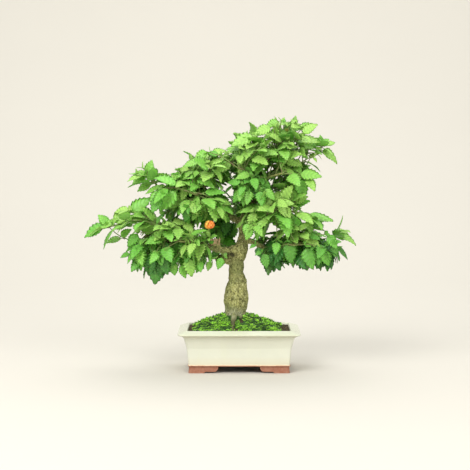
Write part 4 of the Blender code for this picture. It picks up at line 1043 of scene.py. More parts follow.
def pot_mesh():
    """The pot as in the source, with rounder corners, softened edges and smoother arches."""
    profile = [(FOOT_INSET, FOOT_HEIGHT), *POT_OUTSIDE, *POT_INSIDE]
    rings = [rounded_ring(inset, height) for inset, height in rounded_profile(profile, EDGE_ROUND)]
    pot = mesh_object("bonsai_pot", lofted(rings))
    apron = lofted([rounded_ring(FOOT_INSET - FOOT_SPLAY, 0.0), rounded_ring(FOOT_INSET, FOOT_HEIGHT + CUT)])
    boolean(pot, [apron], "UNION")
    well = lofted([rounded_ring(WELL_INSET, -CUT), rounded_ring(WELL_INSET, FOOT_HEIGHT)])
    arches = [arch_cutter(FOOT_X, LIP_HALF_X, False), arch_cutter(FOOT_Y, LIP_HALF_X, True)]
    low, high = FOOT_HEIGHT - CUT, FLOOR_TOP + CUT
    drains = [cylinder(x, 0.0, DRAIN_RADIUS, low, high, 32) for x in (-DRAIN_X, DRAIN_X)]
    boolean(pot, [well] + arches + drains, "DIFFERENCE")
    return pot


# Soil and moss
def soil_height(x, y):
    """Top of the soil: a mound round the trunk that falls to the pot's rim."""
    across = abs(x - MOUND_X) / (LIP_HALF_X - MOUND_INSET)
    deep = abs(y) / (LIP_HALF_Y - MOUND_INSET)
    fall = min(1.0, (across**MOUND_SQUARE + deep**MOUND_SQUARE) ** (1 / MOUND_SQUARE))
    rough = SOIL_ROUGHNESS * noise.noise(Vector((x, y, 0.3)) * 90)
    return SOIL_EDGE + (MOUND_TOP - SOIL_EDGE) * (1 - fall**MOUND_FALL) + rough * (1 - fall**4)


def soil_limits(height):
    """Half sizes of the pot's inside at a height, less the gap."""
    low, high = POT_INSIDE[2], POT_INSIDE[1]
    inset = low[0] + (high[0] - low[0]) * (height - low[1]) / (high[1] - low[1])
    return LIP_HALF_X - inset - 1.5 * GAP, LIP_HALF_Y - inset - 1.5 * GAP


def inside_pot(x_share, y_share, height):
    """Point at shares of the pot's inside, its corners cut to follow the pot's round ones."""
    half_x, half_y = soil_limits(height)
    cut = SOIL_CORNER if abs(x_share) > 0.999 and abs(y_share) > 0.999 else 0.0
    return x_share * (half_x - cut), y_share * (half_y - cut)


def mound_point(x_share, y_share, lift):
    """Point of the soil's surface at shares of the pot's inside, raised by lift."""
    x, y = inside_pot(x_share, y_share, SOIL_EDGE)
    jitter = noise.noise_vector(Vector((x_share * 5, y_share * 5, 1.7))) * SOIL_JITTER
    inner = (1 - x_share**4) * (1 - y_share**4)
    x += jitter.x * inner
    y += jitter.y * inner
    return Vector((x, y, soil_height(x, y) + lift))


def moss_cover(x, y):
    """How surely moss grows at a place: above zero on the carpet, below it at both ends and in bare spots."""
    half = MOSS_HALF + MOSS_WANDER * noise.noise(Vector((y * 40, 1.0, 4.0)))
    ends = 1 - (abs(x - MOSS_MIDDLE) / half) ** 8
    spots = (
        1.15 - math.hypot((x - at_x) / wide, (y - at_y) / deep) ** 2
        for at_x, at_y, wide, deep in BARE_SPOTS
    )
    bare = max(0.0, *spots)
    patchy = 0.7 * noise.noise(Vector((x, y, 2.0)) * 75) + 0.35 * noise.noise(Vector((x, y, 5.0)) * 190)
    return ends - MOSS_BARED * bare + MOSS_PATCHY * patchy - MOSS_LESS


def ground_grid(columns, rows, surface, bottom):
    """Closed block with a fine upper surface and a flat underside, inside the pot."""
    points = [
        surface(2 * i / columns - 1, 2 * j / rows - 1) for i in range(columns + 1) for j in range(rows + 1)
    ]
    corners = [i * (rows + 1) + j for i in range(columns) for j in range(rows)]
    faces = [(a, a + rows + 1, a + rows + 2, a + 1) for a in corners]
    rim = [i * (rows + 1) for i in range(columns + 1)]
    rim += [columns * (rows + 1) + j for j in range(1, rows + 1)]
    rim += [i * (rows + 1) + rows for i in range(columns - 1, -1, -1)]
    rim += range(rows - 1, 0, -1)
    first, count = len(points), len(rim)
    points += [Vector((points[k].x, points[k].y, bottom)) for k in rim]
    for k in range(count):
        n = (k + 1) % count
        faces.append((rim[n], rim[k], first + k, first + n))
    faces.append(tuple(reversed(range(first, first + count))))
    return points, faces


def soil_point(x_share, y_share):
    place = mound_point(x_share, y_share, 0.0)
    place.z += 0.0007 * noise.noise(place * 330) + 0.0004 * noise.noise(place * 800) - 0.0003
    return place


def moss_point(x_share, y_share):
    """The moss's surface; it dips under the soil where none grows."""
    place = mound_point(x_share, y_share, 0.0)
    cover = moss_cover(place.x, place.y)
    cushions = noise.noise(place * 160) + 0.5 * noise.noise(place * 420)
    depth = min(1.0, max(-0.6, 2.4 * cover))
    place.z += depth * (MOSS_THICKNESS * 0.55 + 0.0021 * cushions) + (0.0 if depth > 0 else -0.0008)
    place.z += 0.0005 * noise.noise(place * 1100)
    return place


def mark_points(mesh, name, values, kind="FLOAT"):
    """Stores a value on each point of the mesh."""
    mark = mesh.attributes.new(name, kind, "POINT")
    values = np.asarray(values, np.int32 if kind == "INT" else np.float32).ravel()
    mark.data.foreach_set("vector" if kind == "FLOAT_VECTOR" else "value", values)


def mark_cover(mesh, sign, lowest):
    """Marks how surely moss, or for a sign of -1 grit, grows on each point above the lowest height."""
    spots = [corner.co - PLACE for corner in mesh.vertices]
    mark_points(mesh, "grows", [sign * moss_cover(x, y) if z > lowest else -1.0 for x, y, z in spots])


# Geometry Nodes trees that repeat shapes
def tree_with(name, inputs):
    """A geometry tree with these named inputs: the tree, its input node and the inputs' identifiers."""
    tree = bpy.data.node_groups.new(name, "GeometryNodeTree")
    known = {}
    for label, kind, default in (("Geometry", "Geometry", None), *inputs):
        socket = tree.interface.new_socket(label, in_out="INPUT", socket_type="NodeSocket" + kind)
        if default is not None:
            socket.default_value = default
        known[label] = socket.identifier
    tree.interface.new_socket("Geometry", in_out="OUTPUT", socket_type="NodeSocketGeometry")
    return tree, tree.nodes.new("NodeGroupInput"), known


def named(tree, kind, name):
    return add(tree, "GeometryNodeInputNamedAttribute", {"Name": name}, data_type=kind)


def drawn(tree, kind, low, high, seed):
    """A random value for each place, between low and high."""
    first, output = {"FLOAT_VECTOR": (0, 0), "FLOAT": (2, 1), "INT": (4, 2)}[kind]
    given = {first: low, first + 1: high, 8: seed}
    return add(tree, "FunctionNodeRandomValue", given, output, data_type=kind)


def instances(tree, given, points, pick, turn, size):
    """The given shapes set on points, the size times the given scale."""
    shapes = {"Collection": given.outputs["Shapes"], "Separate Children": True, "Reset Children": True}
    scaled = {0: size, 1: given.outputs["Scale"]}
    return add(tree, "GeometryNodeInstanceOnPoints", {
        "Points": points, "Instance": add(tree, "GeometryNodeCollectionInfo", shapes),
        "Pick Instance": True, "Instance Index": pick, "Rotation": turn,
        "Scale": add(tree, "ShaderNodeMath", scaled, operation="MULTIPLY"),
    })


def made_real(tree, given, placed):
    """Instances as real meshes in the given material."""
    real = add(tree, "GeometryNodeRealizeInstances", {0: placed})
    finish = {"Geometry": real, "Material": given.outputs["Material"]}
    return add(tree, "GeometryNodeSetMaterial", finish)


@functools.cache
def placing_tree():
    """Sets a picked shape on every point, turned and sized by the point's attributes, and adds the stems."""
    tree, given, known = tree_with("bonsai_place_shapes", (
        ("Shapes", "Collection", None), ("Scale", "Float", 1.0), ("Material", "Material", None),
        ("Stems", "Object", None),
    ))
    pick, turn = named(tree, "INT", "kind"), named(tree, "FLOAT_VECTOR", "turn")
    placed = instances(tree, given, given.outputs[0], pick, turn, named(tree, "FLOAT", "size"))
    bearing = {"Object": given.outputs["Stems"]}
    stems = add(tree, "GeometryNodeObjectInfo", bearing, "Geometry", transform_space="RELATIVE")
    both = tree.nodes.new("GeometryNodeJoinGeometry")
    tree.links.new(made_real(tree, given, placed), both.inputs[0])
    tree.links.new(stems, both.inputs[0])
    tree.links.new(both.outputs[0], tree.nodes.new("NodeGroupOutput").inputs[0])
    return tree, known


@functools.cache
def scattering_tree():
    """Scatters shapes over the marked part of a surface, each with its own turn, size and tone."""
    tree, given, known = tree_with("bonsai_scatter_shapes", (
        ("Shapes", "Collection", None), ("Spacing", "Float", 0.001), ("Density", "Float", 1e5),
        ("Scale", "Float", 0.001), ("Material", "Material", None), ("Seed", "Int", SEED),
        ("Least", "Float", 0.0),
    ))
    grows = {0: named(tree, "FLOAT", "grows"), 1: given.outputs["Least"]}
    spots = add(tree, "GeometryNodeDistributePointsOnFaces", {
        "Mesh": given.outputs[0], "Distance Min": given.outputs["Spacing"],
        "Density Max": given.outputs["Density"],
        "Selection": add(tree, "FunctionNodeCompare", grows, operation="GREATER_THAN"),
        "Seed": given.outputs["Seed"],
    }, distribute_method="POISSON")
    pick = drawn(tree, "INT", 0, GROUND_KINDS - 1, 3)
    turn = drawn(tree, "FLOAT_VECTOR", (-0.5, -0.5, -3.14), (0.5, 0.5, 3.14), 4)
    size = drawn(tree, "FLOAT", 0.6, 1.35, 5)
    toned = add(tree, "GeometryNodeStoreNamedAttribute", {
        "Geometry": instances(tree, given, spots, pick, turn, size), "Name": "tone",
        "Value": drawn(tree, "FLOAT", 0.0, 1.0, 6),
    }, data_type="FLOAT", domain="INSTANCE")
    tree.links.new(made_real(tree, given, toned), tree.nodes.new("NodeGroupOutput").inputs[0])
    return tree, known


def repeated(name, mesh, tree_and_known, shapes, charts, values):
    """A piece of shapes that a geometry tree repeats over the mesh, kept as a plain mesh."""
    group = bpy.data.collections.new(name + "_shapes")
    bpy.context.scene.collection.children.link(group)
    for k, (points, faces) in enumerate(shapes):
        shape = bpy.data.meshes.new(f"{name}_{k}")
        shape.from_pydata([tuple(point) for point in points], [], faces)
        shape.shade_smooth()
        if charts:
            layer = shape.uv_layers.new(name="blade")
            layer.data.foreach_set("uv", np.asarray(charts[k], np.float32).ravel())
        group.objects.link(bpy.data.objects.new(f"{name}_{k}", shape))
    made = linked(name, mesh)
    tree, known = tree_and_known
    modifier = made.modifiers.new("grow", "NODES")
    modifier.node_group = tree
    for label, value in {"Shapes": group, **values}.items():
        modifier[known[label]] = value
    settle(made)
    for item in list(group.objects):
        bpy.data.objects.remove(item)
    bpy.data.collections.remove(group)
    if not made.data.polygons:
        raise RuntimeError(name + " came out empty")
    return made


def pebbles():
    """Rough grains a unit across."""
    draw = random.Random(SEED)
    made = []
    for _ in range(GROUND_KINDS):
        points, faces = ball(Vector(), 0.5, draw.uniform(0.6, 0.95), (0, 0, 1), 2, 5)
        made.append(([point * draw.uniform(0.78, 1.15) for point in points], faces))
    return made


def moss_tufts():
    """Small rosettes of pointed leaves, a unit across."""
    draw = random.Random(SEED + 1)
    made = []
    for _ in range(GROUND_KINDS):
        blades = []
        for k in range(6):
            turn = 2.4 * k + draw.uniform(-0.4, 0.4)
            rise = draw.uniform(0.25, 0.95)
            way = Vector((math.cos(turn), math.sin(turn), rise)).normalized()
            side = way.cross(Vector((0, 0, 1))).normalized()
            long, wide = draw.uniform(0.38, 0.60), draw.uniform(0.12, 0.18)
            middle = way * (0.55 * long) + Vector((0, 0, 0.03))
            lift = side.cross(way) * 0.05
            points = [Vector(), middle - side * wide, way * long, middle + side * wide]
            points += [middle + lift, middle - lift]
            faces = [(0, 1, 4), (1, 2, 4), (2, 3, 4), (3, 0, 4), (1, 0, 5), (2, 1, 5), (3, 2, 5), (0, 3, 5)]
            blades.append((points, faces))
        made.append(joined(blades))
    return made


# Wood
def wood_routes():
    return {name: smooth_route(metres(route), 2) for name, route in BRANCHES.items()}


def wood_shapes():
    """(thick, thin) tubes of the tree: the thick ones grow into one skin, the thin ones can stay tubes."""
    thick = [tube(smooth_route(TRUNK, 6), TRUNK_SIDES, BARK_RELIEF)]
    thick += [tube(smooth_route(root, 5), BRANCH_SIDES, BARK_RELIEF) for root in ROOTS]
    thin = []
    for route in BRANCHES.values():
        samples = smooth_route(metres(route), 5)
        last = max((k for k, sample in enumerate(samples) if sample[3] >= THICK_WOOD), default=-2)
        fat = samples[: last + 2]
        slim = samples[max(0, len(fat) - 4):]
        for part, kept, sides in ((fat, thick, BRANCH_SIDES), (slim, thin, BRANCH_SIDES - 4)):
            if len(part) > 2:
                kept.append(tube(part, sides, BARK_RELIEF))
    for at, radius, stretch in KNOTS:
        thick.append(ball(Vector(metres(at)), radius / 1000, stretch, (0, 0, 1), 7, 14))
    return thick, thin


def bark_lift(point, relief):
    """(how far the bark stands out or in, how dark it is painted: cracks and pits partly in their own dark
    and partly in painted shade, hollows in painted shade) at a point.
    """
    along = Vector((point.x, point.y, point.z * 0.85))
    plates = noise.noise(along * 230)
    ridge = 1 - abs(noise.noise(along * 330 + Vector((3, 1, 7))))
    crack = max(0.0, ridge - 0.80) / 0.20
    lumps = noise.noise(along * 90 + Vector((0, 5, 0)))
    pits = max(0.0, noise.noise(point * 520) - 0.25)
    lift = relief * (1.2 * lumps + 0.9 * plates - 1.3 * crack - 0.8 * pits)
    dark = min(1.0, 0.75 * crack + 1.1 * pits)
    # painted shade: each hollow darkens towards its middle
    for centre, radius, depth in HOLLOWS:
        near = 1 - (point - Vector(centre)).length / radius
        if near > 0:
            lift -= depth * near**0.8
            dark = max(dark, min(1.0, 1.9 * near))
    return lift, dark


def wood_piece(settings):
    thick, thin = wood_shapes()
    skin = mesh_object("bonsai_wood", joined(thick))
    remesh = skin.modifiers.new("skin", "REMESH")
    remesh.mode = "VOXEL"
    remesh.voxel_size = WOOD_VOXEL
    smooth = skin.modifiers.new("smooth", "SMOOTH")
    smooth.factor = 0.5
    smooth.iterations = 3
    settle(skin)
    points, dark = [], []
    for corner in skin.data.vertices:
        point = corner.co - PLACE
        relief = settings.relief * (1.0 if point.z < COARSE_BELOW else FINE_RELIEF)
        lift, deep = bark_lift(point, relief)
        points.append(point + corner.normal * lift)
        dark.append(deep)
    faces = [tuple(face.vertices) for face in skin.data.polygons]
    splinters = stub_splinters()
    bark_count = len(faces) + sum(len(shape[1]) for shape in thin)
    all_points, all_faces = joined([(points, faces), *thin, *splinters])
    dark += [0.0] * (len(all_points) - len(dark))
    marks = [0] * bark_count + [1] * (len(all_faces) - bark_count)
    bpy.data.objects.remove(skin)
    finishes = (bark_material(settings), torn_material(settings))
    wood = mesh_object("bonsai_wood", (all_points, all_faces), finishes, marks)
    # crack carries the cracks' and pits' own dark with painted shade, and painted shade in the hollows
    mark_points(wood.data, "crack", dark)
    return wood


def stub_splinters():
    """Jagged splinters round the torn end of the pruned stub."""
    draw = random.Random(SEED + 5)
    end = Vector(STUB_END)
    up, side, across = frame_along(STUB_WAY)
    cores = [end + side * (place * STUB_RADIUS * 0.8) + up * 0.001 for place in (-1, 0, 1)]
    made = [ball(core, STUB_RADIUS, 1.1, STUB_WAY, 4, 9) for core in cores]
    for k in range(STUB_SPLINTERS):
        turn = 2 * math.pi * k / STUB_SPLINTERS * 2 + draw.uniform(-0.4, 0.4)
        reach = STUB_RADIUS * (0.85 if k % 2 else 0.45)
        out = spoke(side, across, turn)
        foot = end + Vector((out.x * STUB_SPREAD, out.y, out.z)) * reach - up * 0.004
        tip = foot + up * draw.uniform(0.006, 0.0125) + out * draw.uniform(-0.001, 0.0035)
        middle = (foot + tip) / 2 + out * draw.uniform(-0.0006, 0.0008)
        wide = draw.uniform(0.0011, 0.0017)
        made.append(tube([(*foot, wide), (*middle, wide * 0.8), (*tip, 0.0003)], 5))
    return made


# Leaves
def leaf_shape(root, along, blade, face, length, grow=0.0, start=0.0):
    """One leaf as a closed blade, toothed and arched, on a three-sided stalk.

    root is on the twig's axis, along the stalk's direction, blade the blade's and face its upper side's.
    grow thickens it for clearance tests, and start leaves out that much of the stalk.
    """
    base = root + along * PETIOLE_LENGTH
    across = face.cross(blade).normalized()
    up = blade.cross(across).normalized()
    half = length * LEAF_WIDTH / 2
    thick = LEAF_THICKNESS / 2 + grow

    def on_blade(share, side):
        droop = up * (-LEAF_ARCH * length * share**2)
        fold = up * (abs(side) * half * LEAF_FOLD)
        return base + blade * (length * share) + across * (side * (half + grow)) + droop + fold

    left = [on_blade(share, -width) for share, width in LEAF_EDGE]
    right = [on_blade(share, width) for share, width in reversed(LEAF_EDGE)]
    tip = on_blade(1.0 + grow / length, 0.0)
    thin, stalk = PETIOLE_RADIUS[0] + grow, PETIOLE_RADIUS[1] + grow
    side = face.cross(along).normalized()
    rise = along.cross(side)
    foot = root + along * start
    points = [base + (up * 0.5 - across) * stalk, base + (up * 0.5 + across) * stalk, base - up * stalk]
    points += [foot + (rise * 0.5 - side) * thin, foot + (rise * 0.5 + side) * thin, foot - rise * thin]
    points += left + [tip] + right
    points += [on_blade(0.46, 0.0) + up * thick, on_blade(0.46, 0.0) - up * thick]
    rim = [0] + list(range(6, 6 + len(left) + 1 + len(right))) + [1]
    top, bottom = len(points) - 2, len(points) - 1
    faces = [(rim[k], rim[k + 1], top) for k in range(len(rim) - 1)] + [(1, 0, top)]
    faces += [(rim[k + 1], rim[k], bottom) for k in range(len(rim) - 1)] + [(2, 1, bottom), (0, 2, bottom)]
    faces += [(1, 4, 3), (0, 1, 3), (2, 5, 4), (1, 2, 4), (0, 3, 5), (2, 0, 5), (3, 4, 5)]
    return points, faces


class Crowd:
    """What has been placed so far, and whether a new shape is clear of it."""

    def __init__(self):
        self.placed = []

    @staticmethod
    def box(points):
        low = [min(point[k] for point in points) for k in range(3)]
        high = [max(point[k] for point in points) for k in range(3)]
        return low, high

    def add(self, shape, owner):
        self.placed.append((self.box(shape[0]), surface_tree(shape), owner))

    def clear(self, shape, skip=()):
        tree = surface_tree(shape)
        low, high = self.box(shape[0])
        for (other_low, other_high), other, owner in self.placed:
            apart = any(low[k] > other_high[k] or high[k] < other_low[k] for k in range(3))
            if owner not in skip and not apart and tree.overlap(other):
                return False
        return True


def pad_tips(centre, half, rise, count):
    """Shoot tips spread evenly over an ellipsoid's upper side and rim."""
    tips = []
    for k in range(count):
        height = 1 - PAD_DEPTH * (k + 0.5) / count
        around = GOLDEN_TURN * k + 0.6
        flat = math.sqrt(1 - height**2)
        x, y = flat * math.cos(around) * half[0], flat * math.sin(around) * half[1]
        tips.append(Vector(centre) + Vector((x, y, height * half[2] + rise * x)))
    return tips


def twig_start(tip, centre, samples, used):
    """The point on the pad's branches that suits a shoot to this tip: near the usual length, and outward."""
    def cost(k):
        point = Vector(samples[k][:3])
        reach = tip - point
        outward = reach.normalized().dot((tip - centre).normalized())
        return abs(reach.length - TWIG_LENGTH) + 0.016 * (1 - outward) + 0.02 * used.count(k)

    best = min(range(len(samples)), key=cost)
    used.append(best)
    return samples[best]


def arched(first, middle, tip, thick, thin):
    """A shoot's axis, bent towards its middle, from thick to thin."""
    samples = []
    for k in range(TWIG_STEPS + 1):
        t = k / TWIG_STEPS
        point = first * (1 - t) ** 2 + middle * (2 * t * (1 - t)) + tip * t**2
        samples.append((*point, thick + (thin - thick) * t))
    return samples


def bend_of(first, tip, droop, draw):
    """The middle that a shoot bends towards."""
    lift = Vector((draw.uniform(-0.1, 0.1), draw.uniform(-0.1, 0.1), 0.12 + 0.10 * droop))
    return (first + tip) / 2 + lift * (tip - first).length


def twig_samples(start, tip, droop, draw, wood):
    """A shoot's axis from just clear of its branch, arched up and then over; None if it can't be seated."""
    first = Vector(start[:3])
    middle = bend_of(first, tip, droop, draw)
    leaving = (middle - first).normalized()
    side = leaving.orthogonal().normalized()
    ring = [spoke(side, leaving.cross(side), turn) * TWIG_RADIUS[0] for turn in range(7)]
    foot = first + leaving * start[3]
    nearest = 0.0
    while nearest < GAP:
        foot += leaving * 0.0001
        if (foot - first).length > 4 * start[3] + 0.004:
            return None
        nearest = min(clearance(foot + out, wood) for out in (*ring, Vector()))
    return arched(foot, middle, tip, *TWIG_RADIUS)


def clearance(point, tree):
    """Distance from the point to the surface, below zero inside it."""
    nearest, normal, _, distance = tree.find_nearest(point)
    return distance if (point - nearest).dot(normal) > 0 else -distance


def on_twig(samples, share):
    """Point and direction at a share of the twig's length."""
    place = share * (len(samples) - 1)
    k = min(int(place), len(samples) - 2)
    first, second = Vector(samples[k][:3]), Vector(samples[k + 1][:3])
    return first.lerp(second, place - k), (second - first).normalized()


def outside_crown(tip, middle, foot):
    """Whether a leaf would rise above the crown's outline or close one of its openings."""
    if tip.z > np.interp(tip.x, *zip(*RIDGE)):
        return True
    spots = ((spot, gap) for spot in (tip, middle, foot) for gap in GAPS)
    return any(
        ((spot.x - x) / wide) ** 2 + ((spot.z - z) / high) ** 2 < 1 for spot, (x, z, wide, high) in spots
    )


def stray(draw, reach):
    """A random vector, each of its parts up to reach either way."""
    return Vector([draw.uniform(-reach, reach) for _ in range(3)])


def grow_leaves(samples, droop, long_leaf, centre, draw, crowd, name, tries=LEAF_TRIES, test=1.0, loose=0.0):
    """The leaves of one shoot, each tried in several turns until it crosses nothing within its test length.

    An added shoot's leaves are loose: they stray, and keep inside the crown.
    """
    leaves = []
    quarter = draw.uniform(0, math.pi)
    for share_along, size in LEAF_PAIRS:
        root, tangent = on_twig(samples, share_along)
        level = Vector((0, 0, 1)).cross(tangent).normalized()
        rising = tangent.cross(level)
        outward = Vector((root.x - centre.x, root.y - centre.y, 0)).normalized()
        for half_turn in (0.0, math.pi):
            for attempt in range(tries):
                turn = quarter + half_turn + draw.uniform(-0.2, 0.2) * (1 + 0.5 * attempt)
                sideways = level * math.cos(turn) + rising * math.sin(turn) * 0.6
                along = (sideways * 0.8 + tangent * draw.uniform(0.5, 0.9)).normalized()
                hang = max(0.25, droop * (1 + (centre.z - root.z) * 14)) * draw.uniform(*LEAF_HANG)
                blade = along - Vector((0, 0, hang)) + outward * 0.15
                if loose:
                    blade += stray(draw, loose)
                blade.normalize()
                face = Vector((0, 0, 1)) * 0.9 + outward * (0.35 + 0.6 * hang)
                face += stray(draw, FACE_STRAY)
                face = (face - blade * face.dot(blade)).normalized()
                long = long_leaf * size * draw.uniform(*LEAF_LENGTHS) * (1 - LEAF_SHRINK * attempt)
                foot = root + along * PETIOLE_LENGTH
                tip = foot + blade * long
                if loose and outside_crown(tip, foot.lerp(tip, 0.55), foot):
                    continue
                if crowd.clear(leaf_shape(root, along, blade, face, long * test, LEAF_CLEAR, STALK_TESTED)):
                    leaves.append((root, along, blade, face, long, share_along))
                    crowd.add(leaf_shape(root, along, blade, face, long * test, 0.0, STALK_KEPT), name)
                    break
        quarter += math.pi / 2 + draw.uniform(-0.2, 0.2)
    return leaves


def plan_twigs(routes, wood, crowd):
    """Every shoot's axis: the long single ones, then those of the pads."""
    twigs = {}
    for name, (start, tip, droop, long) in SHOOTS.items():
        start, tip, long = metres((start, tip, long))
        seat = (*start, SHOOT_RADIUS)
        place_twig(twigs, "shoot_" + name, seat, Vector(tip), droop, long, Vector(), wood, crowd)
    for pad, (centre, half, rise, count, droop, long, carriers, _) in PADS.items():
        centre, half, long = metres((centre, half, long))
        samples, used = carried(routes, carriers), []
        for k, tip in enumerate(pad_tips(centre, half, rise, count)):
            start = twig_start(tip, Vector(centre), samples, used)
            place_twig(twigs, f"{pad}_{k + 1}", start, tip, droop, long, Vector(centre), wood, crowd)
    return twigs


def carried(routes, carriers):
    """The points of these branches that may carry a shoot."""
    return [sample for carrier in carriers.split() for sample in routes[carrier][2:]]


def place_twig(twigs, name, start, tip, droop, length, centre, wood, crowd):
    draw = random.Random(f"{SEED} {name}")
    for attempt in range(TWIG_TRIES):
        samples = twig_samples(start, tip + stray(draw, 1) * TWIG_STRAY * attempt, droop, draw, wood)
        if samples is None:
            continue
        inner = [(*Vector(samples[0][:3]).lerp(Vector(samples[1][:3]), 0.3), samples[0][3])] + samples[1:]
        wide = tube(samples, TWIG_SIDES, 0.0, LEAF_CLEAR)
        seated = crowd.clear(tube(samples, TWIG_SIDES, 0.0, SEAT_CLEAR))
        if seated and crowd.clear(wide, ("wood",)) and crowd.clear(tube(inner, TWIG_SIDES, 0.0, LEAF_CLEAR)):
            crowd.add(tube(samples, TWIG_SIDES), name)
            twigs[name] = (samples, droop, length, centre, draw)
            return


def open_space(at, before, radius, depth, rise):
    """Tube before a point, rising a little to the front, that no leaf grows into."""
    near = Vector(at) + Vector(before)
    return tube([(*near, radius), (*(near + Vector((0.0, -depth, rise))), radius)], 6)


def volume_tip(draw, centre, half, rise):
    """A shoot's tip somewhere inside a pad, more often near its skin."""
    way = stray(draw, 1)
    while not 0.05 < way.length < 1:
        way = stray(draw, 1)
    way = way.normalized() * draw.uniform(*DENSE)
    x, y, z = (way[k] * half[k] for k in range(3))
    return Vector(centre) + Vector((x, y, z + rise * x))


def extra_twig(start, tip, droop, draw):
    """Axis of an added shoot, from inside its branch."""
    first = Vector(start[:3])
    return arched(first, bend_of(first, tip, droop, draw), tip, TWIG_RADIUS[0] * 0.8, TWIG_RADIUS[1] * 0.6)


def outer_shoots(routes, crowd):
    """The shoots and single leaves that give the crown its outline, each leaf laid from foot to tip."""
    wood = [sample for route in routes.values() for sample in route[2:]]
    shoots, used = [], []
    for nth, (depth, way, leaves) in enumerate(OUTER_SPRIGS):
        depth, way = metres((depth, way))
        draw = random.Random(f"{SEED} outer {nth}")
        grown_leaves = []
        for *spots, turn, tone in leaves:
            x, z, tip_x, tip_z = (spot / 1000 for spot in spots)
            foot = Vector((x, depth + draw.uniform(-0.004, 0.004), z))
            reach = Vector((tip_x, foot.y + draw.uniform(-0.010, 0.004), tip_z)) - foot
            blade = reach.normalized()
            face = Vector((draw.uniform(-0.15, 0.15), -math.cos(turn), math.sin(turn)))
            face = (face - blade * face.dot(blade)).normalized()
            along = (blade * 0.7 + Vector((0, 0.5, 0.3))).normalized()
            leaf = (foot - along * PETIOLE_LENGTH, along, blade, face, reach.length, 0.5)
            crowd.add(leaf_shape(*leaf[:5], 0.0, STALK_KEPT), "outer")
            grown_leaves.append((leaf, tone))
        if way:
            first = Vector((way[0][0], depth, way[0][1]))
            start = Vector(twig_start(first, first, wood, used)[:3])
            points = [start, start.lerp(first, 0.6) + Vector((0, 0, 0.004))]
            points += [Vector((x, depth, z)) for x, z in way]
            axis = [(*point, 0.0011 - 0.0001 * k) for k, point in enumerate(points)]
            borne, tone = [leaf for leaf, _ in grown_leaves], grown_leaves[0][1]
            shoots.append((f"shoot_outer_{nth}", axis, borne, tone))
            continue
        for k, (leaf, tone) in enumerate(grown_leaves):
            start = twig_start(leaf[0], leaf[0] - Vector((0, 0.02, 0)), wood, used)
            axis = extra_twig(start, leaf[0], 0.3, draw)
            shoots.append((f"shoot_outer_{nth}_{k}", axis, [leaf], tone))
    return shoots


@functools.cache
def grown():
    """Every shoot: the source's own, leaf for leaf, then the growth that fills each pad."""
    routes = wood_routes()
    crowd = Crowd()
    wood = cad_shape("trunk_and_branches")
    crowd.add(wood, "wood")
    crowd.add(cad_shape("pot"), "pot")
    twigs = plan_twigs(routes, surface_tree(wood), crowd)
    for node in ("flower_head", "flower_stalk", "bud_head_1"):
        crowd.add(cad_shape(node), node)
    crowd.add(open_space(FLOWER_AT, (0.0, -FLOWER_OPEN[0], 0.002), *FLOWER_OPEN, 0.005), "flower_space")
    shoots = []
    for name, (samples, droop, long, centre, draw) in twigs.items():
        leaves = grow_leaves(samples, droop, long, centre, draw, crowd, name)
        if name == "shoot_flower":
            leaves = [(*leaf[:4], leaf[4] * FLOWER_LEAF, leaf[5]) for leaf in leaves]
        shoots.append((name, samples, leaves, SHOOT_TONE if name.startswith("shoot_") else None))
    shoots += outer_shoots(routes, crowd)
    crowd.add(open_space(STUB_END, (0.0, -0.006, 0.0), *STUB_OPEN, 0.003), "stub_space")
    fills = []
    for pad, (centre, half, rise, _, droop, long, carriers, (count, size, tone)) in PADS.items():
        fills.append((pad, centre, half, rise, count, droop, long * size, tone, carriers))
    for nth, (pad, centre, half, rise, count, droop, long, tone, carriers) in enumerate((*fills, *FILLS)):
        centre, half, long = metres((centre, half, long))
        samples, used = carried(routes, carriers), []
        for k in range(count):
            name = f"{pad}_fill_{nth}_{k + 1}"
            draw = random.Random(f"{SEED} {name}")
            tip = volume_tip(draw, centre, half, rise)
            axis = extra_twig(twig_start(tip, Vector(centre), samples, used), tip, droop, draw)
            leaves = grow_leaves(
                axis, droop, long, Vector(centre), draw, crowd, name, FILL_TRIES, FILL_TEST, LOOSE
            )
            shoots.append((name, axis, leaves, tone))
    return twigs, shoots


def leaf_width(along):
    """Half width of an ovate blade a unit wide at its widest, along its length."""
    knots = (0.0, 0.05, 0.12, 0.22, 0.32, 0.44, 0.58, 0.72, 0.85, 0.94, 1.0)
    widths = (0.10, 0.56, 0.86, 1.00, 1.04, 1.00, 0.86, 0.63, 0.36, 0.15, 0.0)
    return float(np.interp(along, knots, widths))


